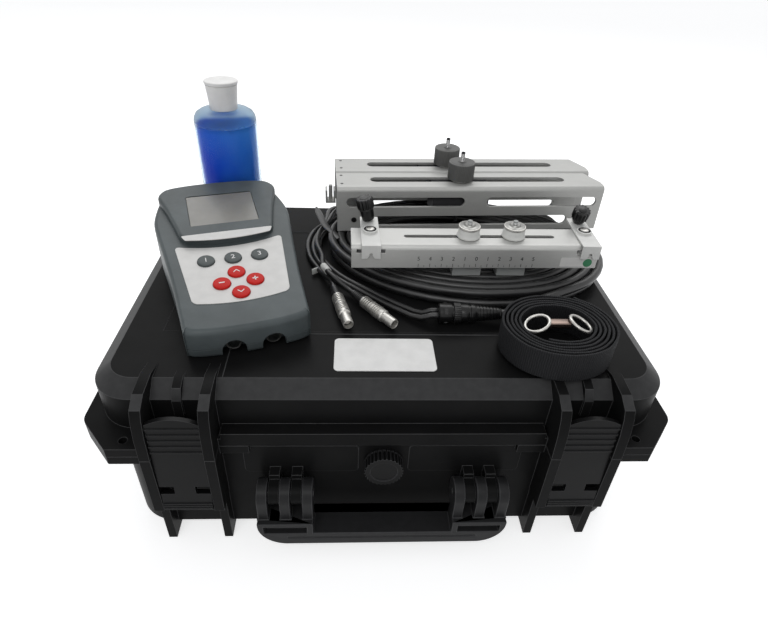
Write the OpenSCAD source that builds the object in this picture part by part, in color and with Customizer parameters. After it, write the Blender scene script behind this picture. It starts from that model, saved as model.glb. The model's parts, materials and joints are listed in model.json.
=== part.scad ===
// Portable clamp-on ultrasonic flow meter kit: carrying case, handset, clamp-on rails,
// sensors, sensor leads, strap and coupling gel, all laid out on the closed lid.
// Millimetres. X points right, Y to the back, Z up. The origin is on the floor under the case's middle.

/* [Case] */
// Width of the case across its flange
case_w = 464; // [440:2:490]
// Depth of the case across its padlock ears
case_d = 362; // [350:2:380]
// Height of the lid's flat top above the floor
lid_top = 156; // [150:1:170]
// Height of the seam between base and lid
seam_z = 108; // [102:1:112]
// How far the base's side walls stand in from the flange
base_in_x = 21; // [17:1:27]
// How far the base's front and back walls stand in from the ears
base_in_y = 15; // [13:1:18]
// Radius of the case's upright corners
corner_r = 34; // [24:1:40]
// Wall thickness of base and lid
case_wall = 4; // [3:0.5:6]
// Clearance under the base's floor, which the feet bridge
foot_h = 8; // [5:1:12]
// Thickness of the flange on base and lid
flange_t = 8; // [6:0.5:10]
// Width of one protective fin
fin_w = 8; // [6:0.5:10]
// Radius of the padlock holes
padlock_r = 3.2; // [2.5:0.1:4]
// Depth of the shallow panel in the lid's top
panel_drop = 0.6; // [0.3:0.1:1]

/* [Case hardware] */
// Radius of the two hinge pins
hinge_pin_r = 3; // [2:0.5:4]
// Outer radius of the hinge knuckles
knuckle_r = 9; // [7:0.5:10]
// Height of the latch pins
latch_pin_z = 60; // [56:1:66]
// Radius of latch and handle pins
pin_r = 2.5; // [2:0.25:3]
// Height of a latch plate
latch_h = 96; // [88:1:100]
// Thickness of a latch plate
latch_t = 4; // [3:0.5:5]
// Outer width of the carrying handle
handle_w = 199; // [190:1:206]
// Height of the handle's pins
handle_pin_z = 66; // [62:1:72]
// Height of the grip's underside
grip_z = 22; // [14:1:24]
// Height of the grip bar
grip_h = 14; // [12:1:16]
// Depth of the grip bar
grip_t = 20; // [14:1:21]
// Radius of the knurled pressure valve knob
valve_r = 15.5; // [13:0.5:18]
// Length of the bare plate on the lid
plate_w = 80; // [70:1:90]
// Depth of the bare plate on the lid
plate_d = 40; // [30:1:42]

/* [Handset] */
// Length of the handset
meter_l = 196; // [190:1:204]
// Width of the handset at its shoulders
meter_w = 122; // [118:1:126]
// Height of the handset's front rim
meter_front_h = 25; // [23:0.5:28]
// Rise of the keypad face, in degrees
meter_slope = 8.8; // [7:0.2:10]
// Height of the step up to the display
meter_step = 6.4; // [5:0.2:8]
// Turn of the handset on the lid, in degrees
meter_turn = 17.1; // [12:0.1:18]
// Wall thickness of the handset's shells
shell_t = 2.5; // [2:0.25:3]
// Radius of one key
key_r = 7.2; // [6:0.1:7.6]
// Travel of one key
key_travel = 1; // [0.6:0.1:1.2]
// Width of the display window
display_w = 60; // [54:1:66]
// Depth of the display window
display_d = 47; // [42:1:50]

/* [Large rails] */
// Length of a large rail
rail_l = 274; // [262:1:274]
// Width of a large rail
rail_w = 41; // [38:0.5:43]
// Height of a large rail
rail_h = 47; // [42:1:50]
// Wall thickness of a large rail
rail_t = 3; // [2:0.25:4]
// Width of the slot along a large rail's top
rail_slot_w = 12; // [9:0.5:14]
// Radius of a large rail's grey knob
rail_knob_r = 12.5; // [10:0.5:14]
// Height of a large rail's grey knob
rail_knob_h = 19; // [15:0.5:20]
// Radius of the threaded studs
stud_r = 2; // [1.5:0.25:2.5]

/* [Small rail] */
// Length of the small rail
scale_l = 221; // [212:1:222]
// Width of the small rail
scale_w = 36.8; // [34:0.2:38]
// Height of the small rail
scale_h = 22; // [20:0.5:24]
// Wall thickness of the small rail
scale_t = 2.5; // [2:0.25:3]
// Length of one sensor block
sensor_l = 26; // [22:1:30]
// Drop of a sensor's face below the small rail
sensor_drop = 11.7; // [9:0.1:13]
// Radius of a sensor's nickel nut
nut_r = 8.4; // [7:0.2:9]
// Radius of the foot of a white collar
collar_r = 10.5; // [9:0.5:11]

/* [Cables] */
// Radius of the trunk cable
cable_r = 4; // [3.5:0.1:4.3]
// Pitch of the coil's loops
coil_pitch = 9.2; // [9:0.1:10]
// Loops in each of the coil's two layers
coil_loops = 5; // [3:1:6]
// Radius of the two sensor leads
lead_r = 2.5; // [2:0.1:2.8]
// Largest radius of a lead's plug
plug_r = 5.6; // [5:0.1:6]
// Length of a lead's metal plug
plug_l = 42; // [36:1:46]
// Radius of the inline connector
inline_r = 8; // [7:0.5:9]
// Length of the inline connector
inline_l = 54; // [48:1:58]

/* [Strap and bottle] */
// Width of the strap's webbing
webbing_w = 25; // [20:1:30]
// Thickness of the strap's webbing
webbing_t = 2.4; // [2:0.1:2.6]
// Pitch of the strap's turns
strap_pitch = 3.3; // [3.2:0.1:3.6]
// Turns of the rolled strap
strap_turns = 5.5; // [4:0.5:7]
// Radius of the gel bottle
bottle_r = 30.5; // [28:0.5:32]
// Height of the bottle's shoulder
bottle_h = 119; // [110:1:122]
// Height of the bottle's cap
cap_h = 27; // [24:1:30]

/* [Hidden] */
$fn = 48;
over = 1;
rest_gap = 0.3;
run_gap = 0.05;
side_gap = 0.5;
black = "#1c1c1e";
soft_black = "#26262a";
shell_grey = "#4f5e64";
white = "#e6e5e1";
steel = "#b9bbbd";
alloy = "#b3b2ae";

// Places on the case
half_w = case_w / 2;
half_d = case_d / 2;
base_w = case_w - 2 * base_in_x;
base_d = case_d - 2 * base_in_y;
fin_in_share = 0.2802;
fin_out_share = 0.3815;
hinge_share = 0.3017;
fin_in_x = fin_in_share * case_w;
fin_out_x = fin_out_share * case_w;
ear_d = 10;
belt_y = half_d - ear_d;
ear_x = fin_out_x + fin_w / 2;
ear_cut_x = 26;
ear_cut_y = 30;
ear_round_r = 15;
ear_normal = [ear_cut_y, -ear_cut_x] / norm([ear_cut_x, ear_cut_y]);
ear_round_at = [half_w - ear_round_r,
    -half_d + ear_cut_y + (ear_round_r * (1 - ear_normal[0])) / -ear_normal[1]];
padlock_in = [37, 9];
padlock_x = half_w - padlock_in[0];
padlock_y = half_d - padlock_in[1];
panel_side = 3;
panel_w = 2 * (fin_out_x + panel_side);
panel_front = 90;
panel_back = 86;
lid_in = [10, 11];
lid_w = case_w - 2 * lid_in[0];
lid_d = 2 * (belt_y - lid_in[1]);
lid_bevel = 10;
lid_bevel_in = 13;
lid_z = seam_z + rest_gap;
belt_h = 13;
belt_z = seam_z + belt_h;
belt_gap = 2;
belt_x = fin_in_x - fin_w / 2 - belt_gap;
tab_side = 4.5;
tab_x = handle_w / 2 + tab_side;
fin_proud = 5;
fin_y = half_d + fin_proud;
fin_lean = 2;
fin_top_in = 54;
fin_crest_in = 34;
fin_brow_in = 14;
fin_edge_in = 3;
rib_top_in = 45;
rib_brow_in = 24;
rib_face_in = 19;
fin_foot_z = 49;
fin_crest = 4;
foot_in = 3.5;
foot_y = half_d - foot_in;
groove_w = 3;
plate_panel_in = 35;
plate_panel_y = half_d - plate_panel_in;
rib_w = 7;
rib_rise = 1.6;
base_face = base_d / 2;

// Places of the hardware
hinge_out = 9;
hinge_y = half_d + hinge_out;
hinge_z = seam_z;
hinge_x = hinge_share * case_w;
knuckle_l = 18;
knuckle_n = 5;
latch_pin_in = 2;
latch_pin_y = half_d - latch_pin_in;
latch_w = fin_out_x - fin_in_x - fin_w - 2 * side_gap;
latch_x = (fin_out_x + fin_in_x) / 2;
latch_tilt = 3.2;
latch_below = 10;
latch_arch = 6;
latch_front = 2.6;
latch_slot_w = 11;
latch_slot_h = 8;
latch_slot_z = 9;
latch_ridge_shares = [0.66, 0.72, 0.78, 0.84, 0.9];
latch_grip_shares = [0.02, 0.045, 0.07];
ridge_h = 1.4;
ridge_rise = 0.8;
barrel_r = 4.5;
handle_pin_out = 1;
handle_pin_y = half_d + handle_pin_out;
tongue_r = 12;
lug_r = 9;
lug_n = 5;
lug_w = 8.3;
lug_step = lug_w + side_gap;
lug_x = handle_w / 2 - lug_n * lug_step;
lug_tab_h = 4;
lug_tab_d = 10;
grip_out = 18;
grip_y = half_d + grip_out;
corner_share = 0.9;
grip_corner_r = corner_share * (handle_pin_z - 2 * lug_r - grip_z);
block_z = handle_pin_z - 2 * lug_r;
grip_pocket_w = 34;
grip_pocket_h = 8;
grip_pocket_d = 6.7;
grip_groove_share = 0.55;
valve_z = 84;
valve_t = 11;
valve_seat_r = 10;
valve_stem_r = 5;
valve_dish_share = 0.7;
valve_flutes = 28;
flute_r = 1.1;
wall_panel_x = 65;
wall_panel_w = 90;
wall_panel_h = 30;
wall_panel_z = 88;
wall_panel_t = 0.8;
plate_in = 62;
plate_y = -(half_d - plate_in);
plate_t = 0.8;
plate_r = 4;

// Foam inside the case
foam_gap = 1;
foam_top_gap = 6;
meter_pocket = [206, 128, 58];
rails_pocket = [150, 288, 66];
pocket_shift = 90;
lid_foam_t = 18;

// Everything on the lid rests at this height
rest_z = lid_top + rest_gap;

// Handset
meter_x = -103.8;
meter_y = -117;
split_z = 8;
rim_y = 5;
nose_shares = [0.62, 0.82];
nose_in = [1, 3];
nose_drop = [2.2, 1.2];
keypad_y_shares = [0.1724, 0.5561];
keypad_w_shares = [0.631, 0.759];
keypad_y0 = keypad_y_shares[0] * meter_l;
keypad_y1 = keypad_y_shares[1] * meter_l;
keypad_w0 = keypad_w_shares[0] * meter_w;
keypad_w1 = keypad_w_shares[1] * meter_w;
keypad_bow = 5;
step_bow = 8;
step_share = 0.5765;
step_y = step_share * meter_l;
strip_y_shares = [0.5316, 0.5862];
strip_w_shares = [0.6033, 0.6475];
strip_y0 = strip_y_shares[0] * meter_l;
strip_y1 = strip_y_shares[1] * meter_l;
strip_w0 = strip_w_shares[0] * meter_w;
strip_w1 = strip_w_shares[1] * meter_w;
display_share = 0.7648;
display_y = display_share * meter_l;
sheet_t = 0.6;
window_t = 1.6;
module_t = 6;
key_y_shares = [0.4214, 0.3255, 0.2628, 0.1964];
key_row_y = key_y_shares[0] * meter_l;
key_row_x = 22.5;
key_up_y = key_y_shares[1] * meter_l;
key_mid_y = key_y_shares[2] * meter_l;
key_mid_x = 13.5;
key_down_y = key_y_shares[3] * meter_l;
key_rise = 1.7;
key_rim = 0.5;
key_rim_t = 1.2;
key_seat = 0.4;
board_z = 16;
board_t = 1.6;
board_gap = 1.6;
battery_z = 3.2;
battery_h = 11;
socket_r = 6;
socket_gap = 0.1;
socket_l = 16;
socket_bore_share = 0.6;
socket_z = 8.8;
socket_x = [-13, 18];
arch_r = 9.5;
arch_z = 4.5;
boss_r = 3.4;
screw_r = 1.5;
screw_head_r = 2.8;
screw_x_share = 0.336;
screw_y_shares = [0.0714, 0.8571];
screw_x = screw_x_share * meter_w;
screw_y = screw_y_shares * meter_l;

// Half of the handset's outline: shares of its width and of its length
meter_half_shares = [
    [0, 0], [0.17, 0.003], [0.29, 0.011], [0.36, 0.022], [0.39, 0.036], [0.4, 0.055],
    [0.425, 0.3], [0.462, 0.52], [0.492, 0.68], [0.5, 0.74], [0.497, 0.79], [0.475, 0.86],
    [0.445, 0.925], [0.42, 0.955], [0.38, 0.975], [0.3, 0.988], [0.16, 0.997], [0, 1]];

// Coil, with its cable centre on an ellipse that shrinks loop by loop
coil_x = 84;
coil_y = 42;
coil_a = 138;
coil_b = 99;
coil_turn = -10;
coil_end_deg = -48;
coil_rings = 24;
tube_sides = 6;
layer_gap = 0.7;
coil_layer = 2 * cable_r + layer_gap;
coil_top = rest_z + 2 * cable_r + coil_layer;

// Large rails
rail_x = -41.3;
rail_y = 56.4;
rail_turn = 3.3;
rail_z = coil_top + rest_gap;
rail_bend = 5;
rail_nose = 11;
rail_gap = 0.4;
top_slot = [34, 237];
face_slots = [[9, 129], [152, 268], [34, 240]];
face_slot_h = 10;
face_slot_z = [26, 26, 6];
probe_l = 58;
probe_w = 28;
probe_h = 30;
probe_x = [126.5, 119.5];
stud_up = 8;
washer_r = 10.5;
washer_t = 1;
bracket_l = 11;
bracket_h = 14;
bracket_t = 2;
bracket_w = 12;
bracket_down = 36.4;

// Small rail
scale_x = -27;
scale_y = -35.4;
scale_turn = 1.3;
scale_z = coil_top + rest_gap + sensor_drop;
scale_slot = [47, 184];
scale_slot_w = 5.5;
scale_bend = 2;
sensor_w = 24;
sensor_top_gap = 1;
sensor_x = [105, 146];
neck_gap = 0.15;
collar_h = 8;
nut_h = 4.2;
nut_top_share = 0.6;
end_x = 17;
end_far_x = 8;
end_hole_y = 23;
edge_slot_w = 25;
edge_slot_h = 3.6;
end_plate_t = 1.8;
stem_w = 16.5;
stem_l = 29;
tab_drop = 11;
notch_r = 2.6;
notch_eye_share = 0.6;
bush_r = 6.6;
bush_h = 2.4;
pivot_r = 3.6;
pivot_up = 0.6;
thumb_r = 7.8;
thumb_h = 10;
thumb_neck_r = 5.6;
thumb_neck_h = [11, 4];
thumb_y = 45;
thumb_ribs = 14;
right_swing = -3;

// Leads, plugs and inline connector
inline_step = 1;
inline_at = [47, -75, rest_z + inline_r + inline_step];
inline_ring_r = inline_r + inline_step;
inline_ring_l = 12;
port_y = 3.4;
lead_z = rest_z + lead_r;
plug_z = rest_z + plug_r;
boot_l = 16;
plug_step = 1;
plug_tail_share = 0.3;
plug_grip_share = 0.38;
plug_nose_share = 0.32;
plug_mouth_share = 0.8;
plug_groove_shares = [0.08, 0.16, 0.24];
lead_rings = 2;
lead_sides = 8;
sleeve_r = 3.4;
sleeve_l = 18;
left_plug_at = [-38.9, -47.5];
left_plug_turn = -76.2;
right_plug_at = [-15.5, -53.4];
right_plug_turn = -53.8;
left_run = 12;
right_run = 10;
sleeve_from = [-53.2, -2];
sleeve_to = [-47, -17];
sleeve_rise = [2.1, 3.5];
tag_turn = -52;

// Lanes outside the coil that the leads follow, low on the lid and one storey higher
lane_gap = 0.7;
lane_one = cable_r + lead_r + lane_gap;
lane_two = lane_one + 2 * lead_r + lane_gap;
lane_three = lane_two + 2 * lead_r + lane_gap;
lane_low = lead_z;
lane_high = lead_z + 2 * lead_r + lane_gap;
tag_l = 13;
tag_t = 1;
tag_at = [-64.5, -1];

// Strap roll
strap_x = 136;
strap_y = -114;
strap_a = 47;
strap_b = 42.5;
strap_z = lid_top + fin_crest + rest_gap;
strap_step = 15;
strap_start_deg = 60;
ring_r = 9.5;
ring_wire_r = 1.3;
ring_tilt = 24;
ring_x = strap_a - strap_pitch * (floor(strap_turns - 1 / 6) + 1 / 6) - webbing_t - rest_gap
    - (ring_r + ring_wire_r) * cos(ring_tilt);
buckle = [2 * (ring_x - ring_r * cos(ring_tilt)), 7, 5];

// Gel bottle
bottle_side = 20.2;
bottle_gap = 10;
bottle_back = meter_l + bottle_r + bottle_gap;
bottle_x = meter_x + bottle_side * cos(meter_turn) - bottle_back * sin(meter_turn);
bottle_y = meter_y + bottle_side * sin(meter_turn) + bottle_back * cos(meter_turn);
bottle_wall = 1.4;
bottle_foot_r = 4;
shoulder_h = 8;
neck_r = 10;
neck_h = 9;
gel_h = 104;
cap_r = 13;
cap_flare = 3.4;
cap_split = 1.2;
cap_body_share = 0.7;
cap_lip_share = 0.8;
end_plug_r = 4.6;

// Rectangle with round corners, centred
module round_rect(w, d, r) {
    square([w - 2 * r, d], center = true);
    square([w, d - 2 * r], center = true);
    for (x = [-1, 1], y = [-1, 1])
        translate([x * (w / 2 - r), y * (d / 2 - r)]) circle(r);
}

// Rounded slab between two heights
module slab(w, d, r, z0, z1) {
    translate([0, 0, z0]) linear_extrude(z1 - z0) round_rect(w, d, r);
}

// Outline in Y and Z, carried along X
module along_x(x0, x1) {
    translate([x0, 0, 0]) rotate([90, 0, 90]) linear_extrude(x1 - x0) children();
}

// Round bar along X, from x0 to x1
module bar_x(x0, x1, y, z, r) {
    translate([x0, y, z]) rotate([0, 90, 0]) cylinder(h = x1 - x0, r = r);
}

// Slot with round ends along X, centred on Y
module slot(x0, x1, w) {
    translate([x0 + w / 2, 0]) circle(w / 2);
    translate([x1 - w / 2, 0]) circle(w / 2);
    translate([x0 + w / 2, -w / 2]) square([x1 - x0 - w, w]);
}

// Case

module ear_plan() {
    for (s = [-1, 1]) scale([s, 1])
        union() {
            polygon([[ear_x, -half_d + ear_d + corner_r], [ear_x, -half_d],
                     [half_w - ear_cut_x, -half_d], ear_round_at + ear_round_r * ear_normal,
                     [half_w, ear_round_at[1]], [half_w, -half_d + ear_d + corner_r]]);
            translate(ear_round_at) circle(ear_round_r);
        }
}

module flange_plan() {
    round_rect(case_w, 2 * belt_y, corner_r);
    ear_plan();
}

module padlock_holes() {
    for (s = [-1, 1]) translate([s * padlock_x, -padlock_y, seam_z - flange_t - over])
        cylinder(h = 2 * flange_t + 2 * over, r = padlock_r);
}

module base_fin_outline() {
    polygon([[-fin_y, fin_foot_z], [-fin_y + side_gap, seam_z],
             [-base_face + case_wall, seam_z], [-base_face + case_wall, fin_foot_z]]);
}

module foot_outline() {
    polygon([[-foot_y, 0], [-foot_y, fin_foot_z + over], [-base_face + corner_r / 2, fin_foot_z + over],
             [-base_face + corner_r / 2, 0]]);
}

module hinge_segment(i, reach, z0, z1) {
    for (s = [-1, 1]) {
        x0 = s * hinge_x - knuckle_n * knuckle_l / 2 + i * knuckle_l + rest_gap / 2;
        x1 = x0 + knuckle_l - rest_gap;
        bar_x(x0, x1, hinge_y, hinge_z, knuckle_r);
        along_x(x0, x1) polygon([[reach, z0], [hinge_y, z0], [hinge_y, z1], [reach, z1]]);
    }
}

module hinge_bores(r) {
    for (s = [-1, 1])
        bar_x(s * hinge_x - knuckle_n * knuckle_l / 2 - over,
              s * hinge_x + knuckle_n * knuckle_l / 2 + over, hinge_y, hinge_z, r);
}

module handle_lugs() {
    for (s = [-1, 1], i = [1, 3]) {
        x0 = lug_x + i * lug_step;
        xs = s > 0 ? x0 : -x0 - lug_w;
        bar_x(xs, xs + lug_w, -handle_pin_y, handle_pin_z, lug_r);
        along_x(xs, xs + lug_w) polygon([
            [-handle_pin_y, handle_pin_z - lug_r], [-base_face + case_wall / 2, handle_pin_z - lug_r],
            [-base_face + case_wall / 2, handle_pin_z + lug_r + lug_tab_h],
            [-base_face - lug_tab_d + side_gap, handle_pin_z + lug_r + lug_tab_h],
            [-base_face - lug_tab_d, handle_pin_z + lug_r], [-handle_pin_y, handle_pin_z + lug_r]]);
    }
}

module case_base() color(black) difference() {
    union() {
        slab(base_w, base_d, corner_r, foot_h, seam_z);
        translate([0, 0, seam_z - flange_t]) linear_extrude(flange_t) difference() {
            flange_plan();
            translate([-tab_x, -half_d - over]) square([2 * tab_x, half_d - base_face + over]);
        }
        for (s = [-1, 1], x = [fin_in_x, fin_out_x]) {
            along_x(s * x - fin_w / 2, s * x + fin_w / 2) base_fin_outline();
            along_x(s * x - rib_w / 2, s * x + rib_w / 2) foot_outline();
            along_x(s * x - rib_w / 2, s * x + rib_w / 2) mirror([1, 0]) foot_outline();
        }
        for (i = [0, 2, 4]) hinge_segment(i, base_face - case_wall / 2, hinge_z - knuckle_r, hinge_z);
        handle_lugs();
        for (s = [-1, 1])
            translate([s * wall_panel_x, -base_face, wall_panel_z]) rotate([90, 0, 0])
                linear_extrude(wall_panel_t) round_rect(wall_panel_w, wall_panel_h, rib_w / 2);
    }
    slab(base_w - 2 * case_wall, base_d - 2 * case_wall, corner_r - case_wall,
         foot_h + case_wall, seam_z + over);
    padlock_holes();
    hinge_bores(hinge_pin_r + run_gap);
    latch_pin_bars(pin_r + run_gap);
    handle_pin_bars(pin_r + run_gap);
    translate([0, -base_face + case_wall + over, valve_z]) rotate([90, 0, 0])
        cylinder(h = case_wall + 2 * over, r = valve_seat_r);
}

module lid_fin_outline() {
    polygon([[-panel_front + groove_w, lid_top - lid_bevel],
             [-half_d + fin_top_in, lid_top - panel_drop],
             [-half_d + fin_crest_in, lid_top + fin_crest],
             [-half_d + fin_brow_in, lid_top + fin_crest - rib_rise],
             [-half_d + fin_edge_in, lid_top - 2 * rib_rise], [-half_d, lid_top - lid_bevel],
             [-fin_y + fin_lean, belt_z + lid_bevel], [-fin_y + side_gap, lid_z],
             [-belt_y + lid_bevel, lid_z], [-belt_y + 2 * lid_bevel, lid_top - lid_bevel]]);
}

// Round-cornered slab whose sides lean in by b from z0 to z1
module bevel_slab(w, d, r, z0, z1, b) {
    for (x = [-1, 1], y = [-1, 1])
        translate([x * (w / 2 - r), y * (d / 2 - r), z0]) cylinder(h = z1 - z0, r1 = r, r2 = r - b);
    along_x(-w / 2 + r, w / 2 - r)
        polygon([[-d / 2, z0], [d / 2, z0], [d / 2 - b, z1], [-d / 2 + b, z1]]);
    rotate([0, 0, 90]) along_x(-d / 2 + r, d / 2 - r)
        polygon([[-w / 2, z0], [w / 2, z0], [w / 2 - b, z1], [-w / 2 + b, z1]]);
}

module lid_shell(inset) {
    w = lid_w - 2 * inset;
    d = lid_d - 2 * inset;
    r = corner_r - inset;
    knee = lid_top - lid_bevel - inset / 2;
    slab(w, d, r, lid_z, knee);
    bevel_slab(w, d, r, knee, lid_top - inset, lid_bevel_in);
}

module case_lid() color(black) difference() {
    union() {
        lid_shell(0);
        translate([0, 0, lid_z]) linear_extrude(flange_t - rest_gap) flange_plan();
        translate([-belt_x, -belt_y, lid_z]) cube([2 * belt_x, 2 * lid_bevel, belt_z - lid_z]);
        for (s = [-1, 1]) {
            for (x = [fin_in_x, fin_out_x]) along_x(s * x - fin_w / 2, s * x + fin_w / 2) lid_fin_outline();
            along_x(s * latch_x - rib_w / 2, s * latch_x + rib_w / 2) polygon([
                [-half_d + rib_top_in, lid_top - lid_bevel], [-half_d + rib_top_in, lid_top - panel_drop],
                [-half_d + fin_crest_in, lid_top + rib_rise], [-half_d + rib_brow_in, lid_top - rib_rise],
                [-half_d + rib_face_in, lid_top - lid_bevel], [-half_d + rib_face_in, belt_z + lid_bevel],
                [-half_d + fin_crest_in, belt_z + lid_bevel]]);
        }
        for (i = [1, 3]) hinge_segment(i, belt_y - case_wall, lid_z, hinge_z + knuckle_r);
    }
    lid_shell(case_wall);
    slab(lid_w - 2 * case_wall, lid_d - 2 * case_wall, corner_r - case_wall, lid_z - over,
         lid_z + flange_t);
    translate([-panel_w / 2, -panel_front, lid_top - panel_drop])
        cube([panel_w, panel_front + panel_back, panel_drop + over]);
    translate([-fin_in_x + fin_w, -plate_panel_y, lid_top - panel_drop])
        cube([2 * fin_in_x - 2 * fin_w, plate_panel_y - panel_front - groove_w, panel_drop + over]);
    gasket_ring(groove_gap, lid_z - over);
    padlock_holes();
    hinge_bores(hinge_pin_r + run_gap);
}

groove_gap = 0.2;
gasket_w = 3;
gasket_h = 2.6;
gasket_out = 2;
gasket_round = 5;
gasket_r = corner_r - case_wall + gasket_round;

// Seal between lid and base, in a groove under the lid's rim
module gasket_ring(grow, z0) {
    difference() {
        slab(lid_w + 2 * (gasket_out + grow), lid_d + 2 * (gasket_out + grow), gasket_r + grow, z0,
             lid_z + gasket_h + grow);
        slab(lid_w + 2 * (gasket_out - gasket_w - grow), lid_d + 2 * (gasket_out - gasket_w - grow),
             gasket_r - gasket_w - grow, z0 - over, lid_z + gasket_h + over);
    }
}

module lid_gasket() color(soft_black) gasket_ring(0, lid_z);

module pocket(size, x) {
    translate([x - size[0] / 2, -size[1] / 2, seam_z - foam_top_gap - size[2]])
        cube([size[0], size[1], size[2] + over]);
}

module base_foam() color("#3a3a3d") difference() {
    slab(base_w - 2 * case_wall - 2 * foam_gap, base_d - 2 * case_wall - 2 * foam_gap,
         corner_r - case_wall - foam_gap, foot_h + case_wall, seam_z - foam_top_gap);
    pocket([meter_pocket[1], meter_pocket[0], meter_pocket[2]], -pocket_shift);
    pocket(rails_pocket, pocket_shift);
    translate([0, -base_face + 2 * case_wall + foam_gap, valve_z]) rotate([90, 0, 0])
        cylinder(h = 2 * case_wall, r = valve_seat_r + rib_rise + foam_gap);
}

module lid_foam() color("#3a3a3d")
    slab(lid_w - 2 * lid_bevel_in - 4 * case_wall, lid_d - 2 * lid_bevel_in - 4 * case_wall,
         corner_r - lid_bevel_in, lid_top - case_wall - lid_foam_t, lid_top - case_wall);

module latch_pin_bars(r) {
    for (s = [-1, 1])
        bar_x(s * latch_x - latch_w / 2 - fin_w / 2, s * latch_x + latch_w / 2 + fin_w / 2,
              -latch_pin_y, latch_pin_z, r);
}

module handle_pin_bars(r) {
    for (s = [-1, 1])
        bar_x(s > 0 ? lug_x : -lug_x - lug_n * lug_step + side_gap,
              s > 0 ? lug_x + lug_n * lug_step - side_gap : -lug_x, -handle_pin_y, handle_pin_z, r);
}

module steel_pins() color(steel) {
    for (s = [-1, 1])
        bar_x(s * hinge_x - knuckle_n * knuckle_l / 2, s * hinge_x + knuckle_n * knuckle_l / 2,
              hinge_y, hinge_z, hinge_pin_r);
    latch_pin_bars(pin_r);
    handle_pin_bars(pin_r);
}

// Latch plate standing on its pin, with ridges for the fingers and two slots by the pin
module latch(s) color(soft_black)
    translate([s * latch_x, -latch_pin_y, latch_pin_z]) difference() {
        union() {
            rotate([-latch_tilt, 0, 0]) translate([0, -latch_front, -latch_below]) {
                rotate([90, 0, 0]) linear_extrude(latch_t) difference() {
                    union() {
                        translate([-latch_w / 2, 0]) square([latch_w, latch_h - latch_arch]);
                        intersection() {
                            translate([-latch_w / 2, 0]) square([latch_w, latch_h]);
                            translate([0, latch_h - latch_w]) circle(latch_w, $fn = 96);
                        }
                    }
                    for (x = [-1, 1])
                        translate([x * (latch_w / 2 - latch_slot_w / 2) - latch_slot_w / 2,
                                   latch_below + latch_slot_z])
                            square([latch_slot_w, latch_slot_h]);
                }
                for (k = concat(latch_ridge_shares, latch_grip_shares))
                    translate([-latch_w / 2, -latch_t - ridge_rise, k * latch_h])
                        cube([latch_w, ridge_rise + over, ridge_h]);
            }
            bar_x(-latch_w / 2, latch_w / 2, 0, 0, barrel_r);
        }
        bar_x(-latch_w / 2 - over, latch_w / 2 + over, 0, 0, pin_r + run_gap);
    }

module latch_left() latch(-1);
module latch_right() latch(1);

module handle() color(black) difference() {
    union() {
        translate([0, -grip_y + grip_t, 0]) rotate([90, 0, 0]) linear_extrude(grip_t) difference() {
            intersection() {
                union() {
                    translate([-handle_w / 2, grip_z + grip_corner_r])
                        square([handle_w, block_z - grip_z - grip_corner_r]);
                    translate([-handle_w / 2 + grip_corner_r, grip_z])
                        square([handle_w - 2 * grip_corner_r, block_z - grip_z]);
                    for (s = [-1, 1])
                        translate([s * (handle_w / 2 - grip_corner_r), grip_z + grip_corner_r])
                            circle(grip_corner_r);
                }
                translate([-handle_w / 2, grip_z]) square([handle_w, block_z - grip_z]);
            }
            translate([-lug_x, grip_z + grip_h]) square([2 * lug_x, handle_pin_z]);
        }
        for (s = [-1, 1], i = [0, 2, 4]) {
            x0 = lug_x + i * lug_step;
            xs = s > 0 ? x0 : -x0 - lug_w;
            bar_x(xs, xs + lug_w, -handle_pin_y, handle_pin_z, tongue_r);
            translate([xs, -handle_pin_y - tongue_r, block_z - over])
                cube([lug_w, 2 * tongue_r - 2 * side_gap, handle_pin_z - block_z + over]);
        }
    }
    for (s = [-1, 1])
        bar_x(s > 0 ? lug_x - over : -lug_x - lug_n * lug_step - over,
              s > 0 ? lug_x + lug_n * lug_step + over : -lug_x + over,
              -handle_pin_y, handle_pin_z, pin_r + run_gap);
    for (s = [-1, 1])
        translate([s * (lug_x + handle_w / 2) / 2 - grip_pocket_w / 2, -grip_y - over,
                   block_z - 3 * grip_pocket_h / 2])
            cube([grip_pocket_w, grip_pocket_d, grip_pocket_h]);
    translate([-handle_w / 2 + grip_corner_r, -grip_y - over, grip_z + grip_groove_share * grip_h])
        cube([handle_w - 2 * grip_corner_r, rib_rise / 2 + over, grip_h / 8]);
}

module valve_knob() color(black) translate([0, -base_face - rest_gap, valve_z]) rotate([90, 0, 0]) {
    difference() {
        cylinder(h = valve_t, r = valve_r);
        for (i = [0 : valve_flutes - 1]) rotate([0, 0, i * 360 / valve_flutes])
            translate([valve_r, 0, rib_rise]) cylinder(h = valve_t, r = flute_r);
        translate([0, 0, valve_t - rib_rise / 2]) cylinder(h = over, r = valve_dish_share * valve_r);
    }
    translate([0, 0, -case_wall]) cylinder(h = case_wall + over, r = valve_stem_r);
}

module valve_body() color(soft_black) translate([0, -base_face, valve_z]) rotate([90, 0, 0])
    difference() {
        translate([0, 0, -2 * case_wall]) {
            cylinder(h = 2 * case_wall, r = valve_seat_r);
            cylinder(h = case_wall, r = valve_seat_r + rib_rise);
        }
        translate([0, 0, -case_wall - over]) cylinder(h = case_wall + 2 * over, r = valve_stem_r + run_gap);
        translate([0, 0, -2 * case_wall - over]) cylinder(h = 2 * case_wall, r = valve_stem_r / 2);
    }

module name_plate() color(white)
    translate([0, plate_y, lid_top - panel_drop]) linear_extrude(plate_t)
        round_rect(plate_w, plate_d, plate_r);

// Handset

module on_meter() translate([meter_x, meter_y, rest_z]) rotate([0, 0, meter_turn]) children();

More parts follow.
